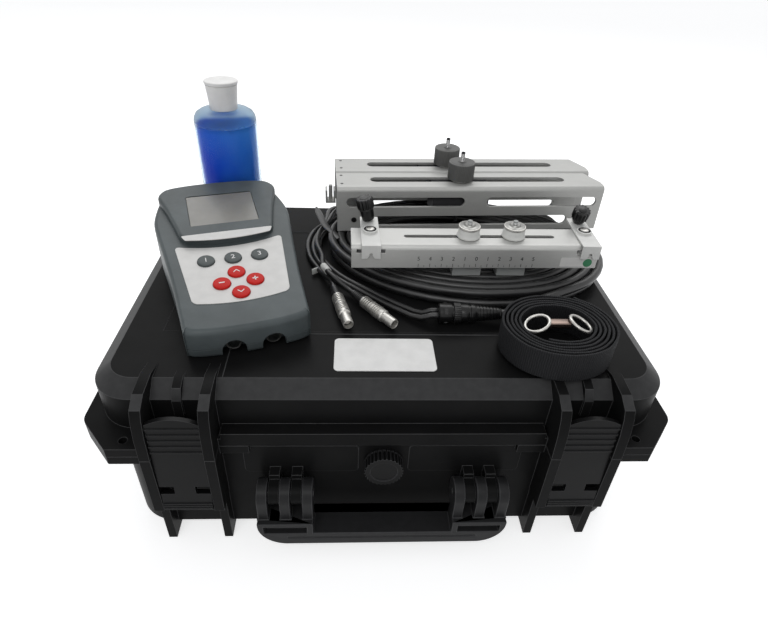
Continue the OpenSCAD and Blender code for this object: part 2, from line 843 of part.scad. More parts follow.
function meter_half(t) = [for (p = meter_half_shares)
    [p[0] * (meter_w - 2 * t), t + p[1] * (meter_l - 2 * t)]];
module meter_plan(t) {
    half = meter_half(t);
    polygon(concat(half, [for (i = [len(half) - 2 : -1 : 1]) [-half[i][0], half[i][1]]]));
}
function face_z(y) = meter_front_h + tan(meter_slope) * y;

// Region behind the bowed step, with its front edge at y
module behind_step(y) {
    n = 8;
    polygon(concat([for (i = [-n : n]) [i / n * meter_w / 2, y - step_bow + step_bow * pow(i / n, 2)]],
                   [[meter_w, meter_l + over], [-meter_w, meter_l + over]]));
}

// Solid of the handset's outer form, shrunk by t all over
module meter_body(t) {
    tail = meter_l - t;
    intersection() {
        linear_extrude(meter_l) meter_plan(t);
        union() {
            along_x(-meter_w, meter_w) polygon([
                [t, t], [t, nose_shares[0] * face_z(0)],
                [nose_in[0] + t, nose_shares[1] * face_z(0) - t / 2],
                [nose_in[1] + t, face_z(0) - nose_drop[0] - t],
                [rim_y + t, face_z(rim_y) - nose_drop[1] - t], [2 * rim_y + t, face_z(2 * rim_y) - t],
                [tail, face_z(tail) - t], [tail, t]]);
            intersection() {
                along_x(-meter_w, meter_w) polygon([
                    [step_y - 4 * step_bow, t],
                    [step_y - 4 * step_bow, face_z(step_y - 4 * step_bow) + meter_step - t],
                    [tail - meter_step, face_z(tail - meter_step) + meter_step - t],
                    [tail, face_z(tail) - t], [tail, t]]);
                linear_extrude(meter_l) behind_step(step_y + t);
            }
        }
    }
}

// Frame on the sloping keypad face, with its origin at y along the handset and rise above the face
module on_face(y, rise) {
    translate([0, y, face_z(y)]) rotate([meter_slope, 0, 0]) translate([0, 0, rise]) children();
}

module meter_arches() {
    for (x = socket_x) translate([x, 2 * shell_t + over, arch_z]) rotate([90, 0, 0])
        linear_extrude(3 * shell_t + over) {
            circle(arch_r);
            translate([-arch_r, -arch_z - over]) square([2 * arch_r, arch_z + over]);
        }
}

key_places = [[-key_row_x, key_row_y], [0, key_row_y], [key_row_x, key_row_y], [0, key_up_y],
              [-key_mid_x, key_mid_y], [key_mid_x, key_mid_y], [0, key_down_y]];

module display_cut(w, d, low, high) {
    on_face(display_y, meter_step + low) translate([-w / 2, -d / 2, 0]) cube([w, d, high - low]);
}

module meter_front_shell() color(shell_grey) on_meter() difference() {
    union() {
        difference() {
            meter_body(0);
            meter_body(shell_t);
        }
        for (s = [-1, 1], y = screw_y)
            translate([s * screw_x, y, split_z])
                cylinder(h = face_z(y) + (y > step_y ? meter_step : 0) - split_z - shell_t / 2, r = boss_r);
    }
    translate([-meter_w, -meter_l, -meter_l + split_z]) cube([2 * meter_w, 3 * meter_l, meter_l]);
    for (p = key_places) on_face(p[1], -2 * shell_t) translate([p[0], 0, 0])
        cylinder(h = 3 * shell_t, r = key_r + rest_gap);
    display_cut(display_w, display_d, -2 * shell_t, over);
    meter_arches();
    for (s = [-1, 1], y = screw_y)
        translate([s * screw_x, y, -over]) cylinder(h = meter_front_h - shell_t, r = screw_r + run_gap);
}

module meter_back_shell() color("#5d6b70") on_meter() difference() {
    union() {
        difference() {
            linear_extrude(split_z) meter_plan(0);
            translate([0, 0, shell_t]) linear_extrude(split_z) meter_plan(shell_t);
        }
        for (s = [-1, 1], y = screw_y) translate([s * screw_x, y, 0]) cylinder(h = split_z, r = boss_r);
    }
    meter_arches();
    for (s = [-1, 1], y = screw_y) translate([s * screw_x, y, -over]) {
        cylinder(h = split_z + 2 * over, r = screw_r + run_gap);
        cylinder(h = shell_t + over, r = screw_head_r + rest_gap);
    }
}

module display_window() color([0.5, 0.52, 0.5, 0.6]) on_meter()
    on_face(display_y, meter_step - window_t)
        translate([-display_w / 2, -display_d / 2, 0]) cube([display_w, display_d, window_t]);

module display_module() color("#7f8480") on_meter()
    on_face(display_y, meter_step - window_t - module_t)
        translate([-display_w / 2 - over, -display_d / 2 - over, 0])
            cube([display_w + 2 * over, display_d + 2 * over, module_t - (shell_t - window_t) - rest_gap]);

function bowed(w, y, bow) = [for (i = [-4 : 4]) [i / 4 * w / 2, y - bow + bow * pow(i / 4, 2)]];
function back_along(p) = [for (i = [len(p) - 1 : -1 : 0]) p[i]];

module keypad_overlay() color(white) on_meter() difference() {
    on_face(0, 0) linear_extrude(sheet_t)
        polygon(concat(bowed(keypad_w0, keypad_y0, keypad_bow),
                       back_along(bowed(keypad_w1, keypad_y1, step_bow))));
    for (p = key_places) on_face(p[1], -over) translate([p[0], 0, 0])
        cylinder(h = sheet_t + 2 * over, r = key_r + rest_gap);
}

module name_strip() color(white) on_meter()
    on_face(0, meter_step) linear_extrude(sheet_t)
        polygon(concat(bowed(strip_w0, strip_y0 + step_bow / 2, step_bow / 2),
                       back_along(bowed(strip_w1, strip_y1, 0))));

module key(i, tint) color(tint) on_meter() on_face(key_places[i][1], 0)
    translate([key_places[i][0], 0, 0]) {
        top = sheet_t + key_rise;
        translate([0, 0, -shell_t - key_seat]) cylinder(h = top + shell_t + key_seat, r = key_r);
        translate([0, 0, -shell_t - key_seat - key_rim_t]) cylinder(h = key_rim_t, r = key_r + key_rim);
    }

module key_one() key(0, "#42464a");
module key_two() key(1, "#42464a");
module key_three() key(2, "#42464a");
module key_up() key(3, "#c0262c");
module key_minus() key(4, "#c0262c");
module key_plus() key(5, "#c0262c");
module key_down() key(6, "#c0262c");

module main_board() color("#1f6b45") on_meter() difference() {
    translate([0, 0, board_z]) linear_extrude(board_t) intersection() {
        meter_plan(2 * shell_t);
        translate([-meter_w / 2, screw_y[0] + boss_r + board_gap]) square([meter_w, meter_l]);
    }
    for (s = [-1, 1], y = screw_y)
        translate([s * screw_x, y, 0]) cylinder(h = 2 * board_z, r = boss_r + rest_gap);
}

module battery_pack() color("#32506e") on_meter()
    for (x = [-1.5 : 1 : 1.5])
        translate([x * (battery_h + 2 * battery_z), meter_l / 2 - meter_l / 8,
                   battery_z - shell_t / 4 + battery_h / 2])
            rotate([-90, 0, 0]) cylinder(h = meter_l / 4, r = battery_h / 2);

module lead_sockets() color(steel) on_meter()
    for (x = socket_x) translate([x, shell_t + over, socket_z]) rotate([-90, 0, 0]) difference() {
        cylinder(h = socket_l, r = socket_r);
        translate([0, 0, -over])
            cylinder(h = socket_bore_share * socket_l + over, r = plug_r - plug_step + socket_gap);
    }

module shell_screws() color(steel) on_meter()
    for (s = [-1, 1], y = screw_y) translate([s * screw_x, y, screw_head_r / 4]) {
        cylinder(h = split_z + 4 * screw_r, r = screw_r);
        cylinder(h = shell_t - screw_head_r / 4, r = screw_head_r);
    }

// Large rails

module on_rail(i) translate([rail_x, rail_y, rail_z]) rotate([0, 0, rail_turn])
    translate([0, i * (rail_w + rail_gap), 0]) children();

module channel_outline(w, h, r) {
    square([w, h - r]);
    translate([r, 0]) square([w - 2 * r, h]);
    for (y = [r, w - r]) translate([y, h - r]) circle(r);
}

module large_rail(i) color(alloy) on_rail(i) difference() {
    along_x(0, rail_l) difference() {
        channel_outline(rail_w, rail_h, rail_bend);
        translate([rail_t, -over])
            channel_outline(rail_w - 2 * rail_t, rail_h - rail_t + over, rail_bend - rail_t);
    }
    translate([0, rail_w / 2, rail_h - rail_t - over]) linear_extrude(rail_t + 2 * over)
        slot(top_slot[0], top_slot[1], rail_slot_w);
    // The rear rail's back web is whole
    for (k = [0 : 2]) for (y = i == 0 ? [rail_t + over, rail_w + over] : [rail_t + over])
        translate([0, y, face_slot_z[k] + face_slot_h / 2]) rotate([90, 0, 0])
            linear_extrude(rail_t + 2 * over) slot(face_slots[k][0], face_slots[k][1], face_slot_h);
    linear_extrude(rail_h + over) polygon([
        [rail_l - rail_nose, rail_w + over], [rail_l + over, rail_w / 4],
        [rail_l + over, rail_w + over]]);
}

module front_rail() large_rail(0);
module rear_rail() large_rail(1);

module rail_knob(i) color("#5f6062") on_rail(i) translate([probe_x[i], rail_w / 2, rail_h + rest_gap])
    difference() {
        union() {
            cylinder(h = washer_t, r = washer_r);
            translate([0, 0, washer_t]) cylinder(h = rail_knob_h, r = rail_knob_r);
        }
        translate([0, 0, -over]) cylinder(h = rail_knob_h + 3 * over, r = stud_r + run_gap);
    }

module front_rail_knob() rail_knob(0);
module rear_rail_knob() rail_knob(1);

// Probe block inside the channel, with its neck in the slot and its stud through the knob
module probe(i) color("#4a4b4e") on_rail(i) translate([probe_x[i], rail_w / 2, 0]) {
    top = rail_h - rail_t - rest_gap;
    translate([-probe_l / 2, -probe_w / 2, top - probe_h]) cube([probe_l, probe_w, probe_h]);
    translate([0, 0, top - over]) cylinder(h = rail_t + over, r = rail_slot_w / 2 - rest_gap);
    cylinder(h = rail_h + rest_gap + washer_t + rail_knob_h + stud_up, r = stud_r);
}

module front_probe() probe(0);
module rear_probe() probe(1);

module rail_bracket() color(alloy) on_rail(0)
    translate([-bracket_l, rail_w + rail_gap + bracket_w / 4, rail_h - bracket_down]) difference() {
        union() {
            cube([bracket_l - rail_gap, bracket_w, bracket_t]);
            cube([bracket_t, bracket_w, bracket_h]);
            translate([bracket_l - rail_gap - bracket_t, 0, 0]) cube([bracket_t, bracket_w, bracket_h]);
            translate([bracket_l / 2, bracket_w / 2, 0]) cylinder(h = bracket_h + stud_up / 2, r = stud_r);
        }
        translate([-over, bracket_w / 2, bracket_h / 2 + bracket_t]) rotate([0, 90, 0])
            cylinder(h = bracket_t + 2 * over, r = stud_r);
    }

// Small rail

module on_scale() translate([scale_x, scale_y, scale_z]) rotate([0, 0, scale_turn]) children();

module scale_rail() color("#c9c8c4") on_scale() difference() {
    union() {
        along_x(0, scale_l) difference() {
            channel_outline(scale_w, scale_h, scale_bend + scale_t);
            translate([scale_t, -over])
                channel_outline(scale_w - 2 * scale_t, scale_h - scale_t + over, scale_bend);
        }
        for (x = [end_x, scale_l - end_far_x]) translate([x, end_hole_y, scale_h - scale_t / 2])
            cylinder(h = scale_t / 2 + rest_gap + end_plate_t + bush_h + pivot_up, r = pivot_r);
    }
    translate([0, scale_w / 2, scale_h - scale_t - over]) linear_extrude(scale_t + 2 * over)
        slot(scale_slot[0], scale_slot[1], scale_slot_w);
    for (x = [end_x, scale_l - end_far_x])
        translate([x - edge_slot_w / 2, -over, scale_h - 2 * edge_slot_h])
            cube([edge_slot_w, scale_t + 2 * over, edge_slot_h]);
}

// Flat plate over the small rail's end, with a stem to the back and a forked tab down the front
module end_plate(tab) {
    front = end_hole_y + scale_bend;
    difference() {
        union() {
            translate([-stem_w / 2, -front - end_plate_t, 0])
                cube([stem_w, front + end_plate_t + stem_l, end_plate_t]);
            translate([-stem_w / 2, -front - end_plate_t, -tab])
                cube([stem_w, end_plate_t, tab + end_plate_t / 2]);
            cylinder(h = end_plate_t + bush_h, r = bush_r);
        }
        translate([0, 0, -over]) cylinder(h = end_plate_t + bush_h + 2 * over, r = pivot_r + run_gap);
        translate([0, -front + over, -tab]) rotate([90, 0, 0]) linear_extrude(2 * end_plate_t + 2 * over) {
            translate([0, 1.5 * notch_r]) circle(notch_eye_share * notch_r);
            polygon([[-1.5 * notch_r, -over], [1.5 * notch_r, -over], [0, 2 * notch_r]]);
        }
    }
}

module at_left_end() on_scale() translate([end_x, end_hole_y, scale_h + rest_gap]) children();
module at_right_end() on_scale()
    translate([scale_l - end_far_x, end_hole_y, scale_h + rest_gap]) rotate([0, 0, right_swing]) children();

module stem_hole(tilt) translate([0, thumb_y - end_hole_y, 0]) rotate(tilt) translate([0, 0, -thumb_h])
    cylinder(h = 2 * thumb_h, r = stud_r + run_gap);

left_tilt = [0, -12, 0];
right_tilt = [20, 0, 0];

module end_plate_left() color("#d6d5d1") at_left_end() difference() {
    end_plate(tab_drop);
    stem_hole(left_tilt);
}

module end_plate_right() color("#d6d5d1") at_right_end() difference() {
    end_plate(tab_drop);
    stem_hole(right_tilt);
}

// Ribbed black thumb screw that stands on a plate's stem
module thumb_screw(tilt, neck_h) color(black) translate([0, thumb_y - end_hole_y, 0]) rotate(tilt) {
    lift = end_plate_t + thumb_neck_r * abs(sin(tilt[0] + tilt[1])) + rest_gap;
    translate([0, 0, lift]) {
        cylinder(h = neck_h, r1 = thumb_neck_r, r2 = thumb_neck_r + over);
        translate([0, 0, neck_h]) difference() {
            cylinder(h = thumb_h, r = thumb_r);
            for (i = [0 : thumb_ribs - 1]) rotate([0, 0, i * 360 / thumb_ribs])
                translate([thumb_r + flute_r / 4, 0, over]) cylinder(h = thumb_h, r = flute_r);
        }
        translate([0, 0, -lift - 2 * end_plate_t]) cylinder(h = lift + 2 * end_plate_t + over, r = stud_r);
    }
}

module thumb_screw_left() at_left_end() thumb_screw(left_tilt, thumb_neck_h[0]);
module thumb_screw_right() at_right_end() thumb_screw(right_tilt, thumb_neck_h[1]);

// Sensor block under the slot, with its neck and stud; the sloped face looks at the pipe
module sensor(i) color("#8d8f90") on_scale() translate([sensor_x[i], scale_w / 2, 0]) {
    top = scale_h - scale_t - sensor_top_gap;
    along_x(-sensor_l / 2, sensor_l / 2) translate([-sensor_w / 2, -sensor_drop])
        square([sensor_w, top + sensor_drop]);
    cylinder(h = scale_h + rest_gap, r = scale_slot_w / 2 - neck_gap);
    cylinder(h = scale_h + rest_gap + collar_h + nut_h + 3 * over, r = stud_r);
}

module sensor_left() sensor(0);
module sensor_right() sensor(1);

module collar(i) color("#efeeea") on_scale()
    translate([sensor_x[i], scale_w / 2, scale_h + rest_gap]) difference() {
        cylinder(h = collar_h, r1 = collar_r, r2 = nut_r);
        translate([0, 0, -over]) cylinder(h = collar_h + 2 * over, r = stud_r + run_gap);
    }

module collar_left() collar(0);
module collar_right() collar(1);

module sensor_nut(i) color(steel) on_scale()
    translate([sensor_x[i], scale_w / 2, scale_h + rest_gap + collar_h + rest_gap / 2]) difference() {
        union() {
            cylinder(h = nut_h / 2, r = nut_r);
            translate([0, 0, nut_h / 2]) cylinder(h = nut_h / 2, r1 = nut_r,
                r2 = nut_top_share * nut_r);
        }
        translate([0, 0, -over]) cylinder(h = nut_h + 2 * over, r = stud_r + run_gap);
    }

module sensor_nut_left() sensor_nut(0);
module sensor_nut_right() sensor_nut(1);

// Cables

function unit(v) = v / norm(v);
function flat_side(t) = unit([t[1], -t[0], 0]);

// Tube of one unbroken skin along the points, with radius r and n sides
module tube(pts, r, n) {
    m = len(pts);
    tangent = [for (i = [0 : m - 1]) unit(pts[min(i + 1, m - 1)] - pts[max(i - 1, 0)])];
    ring = [for (i = [0 : m - 1], k = [0 : n - 1])
        let (s = flat_side(tangent[i]), u = cross(s, tangent[i]), a = 360 * (k + 0.5) / n)
        pts[i] + r * (cos(a) * s + sin(a) * u)];
    side = [for (i = [0 : m - 2], k = [0 : n - 1])
        let (a = i * n + k, b = i * n + (k + 1) % n)
        each [[a, b, b + n], [a, b + n, a + n]]];
    cap = [for (k = [1 : n - 2]) each [[0, k + 1, k], [(m - 1) * n, (m - 1) * n + k, (m - 1) * n + k + 1]]];
    polyhedron(points = ring, faces = concat(side, cap));
}

// The coil runs inwards on the lower layer and outwards on the upper one
coil_half = coil_loops * coil_rings;
function coil_depth(i) = min(i, coil_last - i);
function coil_height(i) = rest_z + cable_r + coil_layer
    * min(1, max(0, (i - coil_half) / (coil_rings / 2)));
function coil_angle(i) = coil_end_deg - 360 * (i - 2 * coil_half - coil_rings / 2) / coil_rings;
// Point on the coil's oval, grown by e, at angle a and height z
function oval(e, a, z) = let (u = (coil_a + e) * cos(a), v = (coil_b + e) * sin(a))
    [coil_x + u * cos(coil_turn) - v * sin(coil_turn), coil_y + u * sin(coil_turn) + v * cos(coil_turn), z];
function coil_point(i) = oval(-coil_depth(i) * coil_pitch / coil_rings, coil_angle(i), coil_height(i));
coil_last = 2 * coil_half + coil_rings / 2;
coil_body = [for (i = [0 : coil_last]) coil_point(i)];
coil_start_run = coil_body[0] + 2 * cable_r * unit(coil_body[0] - coil_body[1])
    + [0, 0, end_plug_r - cable_r];
coil_end_run = coil_body[coil_last] + 2 * cable_r * unit(coil_body[coil_last] - coil_body[coil_last - 1]);
coil_route = concat([coil_start_run], coil_body, [coil_end_run]);

function least(v) = min(v);
coil_gap = least([for (i = [0 : 3 : coil_last], j = [i + coil_rings / 2 : 1 : coil_last])
    norm(coil_body[i] - coil_body[j])]) - 2 * cable_r;
echo(least_gap_between_coil_loops = coil_gap);

module cable_coil() color(soft_black) tube(coil_route, cable_r, tube_sides);

// Smooth curve through hand-placed points, with steps between each pair
function curve(p, steps) = concat([for (i = [0 : len(p) - 2], k = [0 : steps - 1])
    let (a = p[max(i - 1, 0)], b = p[i], c = p[i + 1], d = p[min(i + 2, len(p) - 1)], t = k / steps)
    0.5 * (2 * b + (c - a) * t + (2 * a - 5 * b + 4 * c - d) * t * t + (3 * b - a - 3 * c + d) * t * t * t)],
    [p[len(p) - 1]]);

trunk_route = concat([coil_end_run],
    [[137, -59, 168], [123, -67, 166.5], [112, -73.5, 165.5], inline_at + [inline_l + 3, 0, 0],
     inline_at + [inline_l, 0, 0]]);

// The leads leave the inline connector, hug the coil round to the back, and return to their plugs
left_route = concat(
    [inline_at - [0, port_y, 0], inline_at - [6, port_y, 0], [25, -71.5, lane_low + 1]],
    [for (a = [-127 : -14 : -197]) oval(lane_two, a, lane_low)],
    [[-41, 118, lane_low], [-35, 128, lane_low], [-36, 139, lane_low], [-45, 142, lane_low],
     [-53, 132, lane_low]],
    [for (a = [-199 : 13 : -160]) oval(lane_three, a, lane_low)],
    [[-57.5, 2, lane_low + 1], boot_at(left_plug_at, left_plug_turn, left_run),
     boot_at(left_plug_at, left_plug_turn, 0)]);
right_route = concat(
    [inline_at + [0, port_y, 0], inline_at + [-6, port_y, 0], [28, -65, lane_low + 1]],
    [for (a = [-126 : -14 : -196]) oval(lane_one, a, lane_low)],
    [[-36.5, 110.5, lane_low], [-28, 119.5, lane_low], [-22, 128, lane_low + 1], [-26, 136.5, lane_high - 2],
     [-35.5, 134, lane_high + 0.6], [-46, 118, lane_high + 0.6]],
    [for (a = [-194 : 13 : -155]) oval(lane_one + 2, a, lane_high + 0.4)],
    [[-53.5, -1, lane_high + 2], [-46, -19, lane_high + 3.6],
     boot_at(right_plug_at, right_plug_turn, right_run), boot_at(right_plug_at, right_plug_turn, 0)]);

// Point on a plug's axis, behind its boot by d
function boot_at(at, turn, d) =
    [at[0] - (boot_l + d) * cos(turn), at[1] - (boot_l + d) * sin(turn), plug_z];

module trunk_lead() color(soft_black) tube(curve(trunk_route, lead_rings), cable_r, lead_sides);
module lead_left() color(black) tube(curve(left_route, lead_rings), lead_r, lead_sides);
module lead_right() color(black) tube(curve(right_route, lead_rings), lead_r, lead_sides);

// Metal plug with grip rings and an open nose, and the black boot behind it
module plug(at, turn) translate([at[0], at[1], plug_z]) rotate([0, 90, turn]) difference() {
    union() {
        translate([0, 0, -boot_l]) cylinder(h = boot_l, r1 = lead_r + plug_step, r2 = plug_r - plug_step);
        cylinder(h = plug_tail_share * plug_l, r = plug_r - plug_step / 4);
        translate([0, 0, plug_tail_share * plug_l]) cylinder(h = plug_grip_share * plug_l, r = plug_r);
        translate([0, 0, (1 - plug_nose_share) * plug_l])
            cylinder(h = plug_nose_share * plug_l, r = plug_r - plug_step);
    }
    for (k = plug_groove_shares) translate([0, 0, plug_l * k]) rotate_extrude()
        translate([plug_r - plug_step / 2, 0]) square([plug_step, plug_step]);
    translate([0, 0, plug_mouth_share * plug_l]) cylinder(h = plug_l, r = plug_r - 2 * plug_step);
}

module plug_left() color(steel) plug(left_plug_at, left_plug_turn);
module plug_right() color(steel) plug(right_plug_at, right_plug_turn);

// Inline connector on the trunk cable, and the cap that closes the cable's other end
module inline_connector() color(black) {
    translate(inline_at) rotate([0, 90, 0]) {
        cylinder(h = inline_ring_l, r = inline_r + inline_step / 2);
        translate([0, 0, inline_ring_l]) cylinder(h = inline_step, r = inline_r - inline_step);
        translate([0, 0, inline_ring_l + inline_step]) cylinder(h = inline_ring_l / 2, r = inline_ring_r);
        translate([0, 0, 3 * inline_ring_l / 2 + inline_step])
            cylinder(h = inline_l - 3 * inline_ring_l / 2 - inline_step, r1 = inline_r,
                     r2 = cable_r + inline_step);
    }
    run = coil_start_run - coil_body[0];
    translate(coil_start_run) rotate([0, acos(run[2] / norm(run)), atan2(run[1], run[0])]) {
        cylinder(h = inline_ring_l, r = end_plug_r);
    }
}

// Sleeve of length l around the segment that starts at a and runs towards b
module sleeve(a, b, l) {
    d = b - a;
    translate(a) rotate([0, acos(d[2] / norm(d)), atan2(d[1], d[0])]) cylinder(h = l, r = sleeve_r);
}

module marker_sleeves() color(white) {
    sleeve([sleeve_from[0], sleeve_from[1], lane_high + sleeve_rise[0]],
           [sleeve_to[0], sleeve_to[1], lane_high + sleeve_rise[1]], tag_l);
    translate([tag_at[0], tag_at[1], lane_low - lead_r]) rotate([0, 0, tag_turn])
        cube([tag_t, tag_l / 2, 2 * lead_r + tag_t]);
}

// Strap, rolled on edge round an oval

strap_n = strap_turns * 360 / strap_step;
function strap_at(i, side) =
    let (a = strap_start_deg - i * strap_step, s = i * strap_pitch * strap_step / 360 + side)
    [strap_x + (strap_a - s) * cos(a), strap_y + (strap_b - s) * sin(a)];
strap_gap = least([for (i = [0 : strap_n - 24])
    norm(strap_at(i, webbing_t) - strap_at(i + 24, 0))]);
echo(least_gap_between_strap_turns = strap_gap);

module strap_roll() color("#2c2e33") translate([0, 0, strap_z]) linear_extrude(webbing_w)
    polygon(concat([for (i = [0 : strap_n]) strap_at(i, 0)],
                   [for (i = [strap_n : -1 : 0]) strap_at(i, webbing_t)]));

// Wire rings and the small block that joins them, caught in the roll's eye
module strap_rings() color(steel) translate([strap_x, strap_y, strap_z + webbing_w - ring_wire_r]) {
    for (s = [-1, 1]) translate([s * ring_x, 0, 0]) rotate([0, s * ring_tilt, 0])
        rotate_extrude() translate([ring_r, 0]) circle(ring_wire_r, $fn = 16);
    translate([-buckle[0] / 2, -buckle[1] / 2, -buckle[2] / 2]) cube(buckle);
}

// Gel bottle

module at_bottle(z) translate([bottle_x, bottle_y, rest_z + z]) children();

module bottle_outline(t) {
    r = bottle_r - t;
    n = neck_r - t;
    translate([0, t]) square([r - bottle_foot_r, bottle_h - shoulder_h]);
    translate([0, t + bottle_foot_r]) square([r, bottle_h - shoulder_h - 2 * t - bottle_foot_r]);
    translate([r - bottle_foot_r, t + bottle_foot_r]) intersection() {
        circle(bottle_foot_r);
        translate([0, -bottle_foot_r]) square(bottle_foot_r);
    }
    translate([0, bottle_h - shoulder_h - t]) square([r - shoulder_h, shoulder_h]);
    translate([r - shoulder_h, bottle_h - shoulder_h - t]) intersection() {
        circle(shoulder_h);
        square(shoulder_h);
    }
    square([n, bottle_h + neck_h]);
}

module gel_bottle() color([0.75, 0.8, 0.85, 0.4]) at_bottle(0) rotate_extrude() difference() {
    bottle_outline(0);
    difference() {
        bottle_outline(bottle_wall);
        square([bottle_r, bottle_wall]);
    }
    translate([0, bottle_h]) square([neck_r - bottle_wall, neck_h + over]);
}

module gel() color("#1f6fd0") at_bottle(0) rotate_extrude() intersection() {
    bottle_outline(bottle_wall);
    translate([0, bottle_wall]) square([bottle_r, gel_h - bottle_wall]);
}

module bottle_cap() color("#f2f2f0") at_bottle(bottle_h + rest_gap) difference() {
    union() {
        body_h = cap_body_share * cap_h;
        cylinder(h = body_h, r1 = cap_r, r2 = cap_r + cap_body_share * cap_flare);
        cylinder(h = body_h + cap_split, r = cap_r);
        translate([0, 0, body_h + cap_split])
            cylinder(h = cap_h - body_h - cap_split, r1 = cap_r + cap_lip_share * cap_flare,
                     r2 = cap_r + cap_flare);
    }
    translate([0, 0, -over]) cylinder(h = neck_h + over + rest_gap, r = neck_r + run_gap);
}

case_base();
case_lid();
lid_gasket();
base_foam();
lid_foam();
steel_pins();
latch_left();
latch_right();
handle();
valve_knob();
valve_body();
name_plate();
meter_front_shell();
meter_back_shell();
display_window();
display_module();
keypad_overlay();
name_strip();
key_one();
key_two();
key_three();
key_up();
key_minus();
key_plus();
key_down();
main_board();
battery_pack();
lead_sockets();
shell_screws();
front_rail();
rear_rail();
front_rail_knob();
rear_rail_knob();
front_probe();
rear_probe();
rail_bracket();
scale_rail();
end_plate_left();
end_plate_right();
thumb_screw_left();
thumb_screw_right();
sensor_left();
sensor_right();
collar_left();
collar_right();
sensor_nut_left();
sensor_nut_right();
cable_coil();
trunk_lead();
lead_left();
lead_right();
plug_left();
plug_right();
inline_connector();
marker_sleeves();
strap_roll();
strap_rings();
gel_bottle();
gel();
bottle_cap();
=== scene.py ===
import json
from math import cos, pi, radians, sin, tan

import bmesh
import bpy
from mathutils import Matrix, Vector


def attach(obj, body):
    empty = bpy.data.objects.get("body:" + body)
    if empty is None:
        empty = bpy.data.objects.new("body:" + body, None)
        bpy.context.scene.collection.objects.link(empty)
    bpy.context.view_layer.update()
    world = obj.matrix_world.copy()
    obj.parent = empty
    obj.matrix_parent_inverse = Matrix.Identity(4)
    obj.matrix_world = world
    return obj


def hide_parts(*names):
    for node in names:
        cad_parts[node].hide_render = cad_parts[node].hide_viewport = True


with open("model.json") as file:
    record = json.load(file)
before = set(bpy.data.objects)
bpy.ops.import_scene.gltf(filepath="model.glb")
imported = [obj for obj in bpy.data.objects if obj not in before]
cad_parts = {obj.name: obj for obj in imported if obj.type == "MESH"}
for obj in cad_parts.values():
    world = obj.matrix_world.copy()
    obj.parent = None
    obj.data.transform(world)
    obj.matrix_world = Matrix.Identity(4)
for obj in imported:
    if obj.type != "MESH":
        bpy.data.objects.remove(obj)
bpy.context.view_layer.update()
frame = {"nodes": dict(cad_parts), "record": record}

nodes = frame["nodes"]
record = frame["record"]
bodyOf = {node: body for body, held in record["behaviour"]["bodies"].items() for node in held}
slotOf = {part["node"]: part["material_slot"] for part in record["subparts"]}
mm = 0.001
for startUp in ("Cube", "Light", "Camera"):
    if startUp in bpy.data.objects:
        bpy.data.objects.remove(bpy.data.objects[startUp])


def point(x, y, z):
    return Vector((x, y, z)) * mm


def move(x, y, z):
    return Matrix.Translation(point(x, y, z))


def turn(degrees, axis):
    return Matrix.Rotation(radians(degrees), 4, axis)


def linked(name, data):
    made = bpy.data.objects.new(name, data)
    bpy.context.scene.collection.objects.link(made)
    return made


# Camera, fitted to the case's edges and to the handset
view = {"eye": (-27.6, -459.6, 440.4), "yaw": 3.79, "pitch": 36.18, "roll": 2.74,
        "focal": 559.3, "centre": (380.0, 318.9), "width": 768, "height": 641}


def aimCamera():
    yaw, pitch, roll = (radians(view[name]) for name in ("yaw", "pitch", "roll"))
    ahead = Vector((sin(yaw) * cos(pitch), cos(yaw) * cos(pitch), -sin(pitch)))
    level = Vector((cos(yaw), -sin(yaw), 0))
    upright = level.cross(ahead)
    right = level * cos(roll) + upright * sin(roll)
    up = upright * cos(roll) - level * sin(roll)
    lens = bpy.data.cameras.new("camera")
    lens.sensor_fit, lens.sensor_width = "HORIZONTAL", 36
    lens.lens = view["focal"] / view["width"] * lens.sensor_width
    lens.shift_x = (view["width"] / 2 - view["centre"][0]) / view["width"]
    lens.shift_y = (view["centre"][1] - view["height"] / 2) / view["width"]
    lens.clip_start, lens.clip_end = 0.01, 20
    camera = linked("camera", lens)
    turned = Matrix((right, up, -ahead)).transposed().to_4x4()
    camera.matrix_world = Matrix.Translation(Vector(view["eye"]) * mm) @ turned
    bpy.context.scene.camera = camera


aimCamera()
print("camera is aimed")


# Materials

class Wire:
    # a socket of the material being made; +, - and * on it add Math nodes
    tree = None

    def __init__(self, socket):
        self.socket = socket

    @classmethod
    def node(cls, kind, sockets=(), out=0, **settings):
        made = cls.tree.nodes.new("ShaderNode" + kind)
        for name, value in settings.items():
            setattr(made, name, value)
        for name, value in dict(sockets).items():
            if isinstance(value, Wire):
                cls.tree.links.new(value.socket, made.inputs[name])
            else:
                made.inputs[name].default_value = value
        return cls(made.outputs[out]) if len(made.outputs) else None

    def maths(self, operation, other=0.0):
        return Wire.node("Math", {0: self, 1: other}, operation=operation)

    def __add__(self, other):
        return self.maths("ADD", other)

    def __mul__(self, other):
        return self.maths("MULTIPLY", other)

    def __sub__(self, other):
        return self + other * -1

    def __rsub__(self, other):
        return self * -1 + other

    __radd__, __rmul__ = __add__, __mul__


def place(scale=(1, 1, 1)):
    return Wire.node("Mapping", {"Vector": Wire.node("TexCoord", out="Object"), "Scale": scale})


def placeAlong(axis):
    return Wire.node("SeparateXYZ", {"Vector": place()}, out="XYZ".index(axis))


def noise(size, detail=2.0, rough=0.5, where=None):
    # size is the width of one blotch in millimetres
    return Wire.node("TexNoise", {"Vector": where or place(), "Scale": 1 / (size * mm), "Detail": detail,
                                  "Roughness": rough})


def blend(share, first, second):
    first, second = ((*side, 1) if isinstance(side, tuple) else side for side in (first, second))
    return Wire.node("Mix", {0: share, 6: first, 7: second}, 2, data_type="RGBA")


def bump(height, depth, strength):
    # depth in millimetres
    return Wire.node("Bump", {"Height": height, "Distance": depth * mm, "Strength": strength})


def attribute(name):
    return Wire.node("Attribute", out="Fac", attribute_name=name)


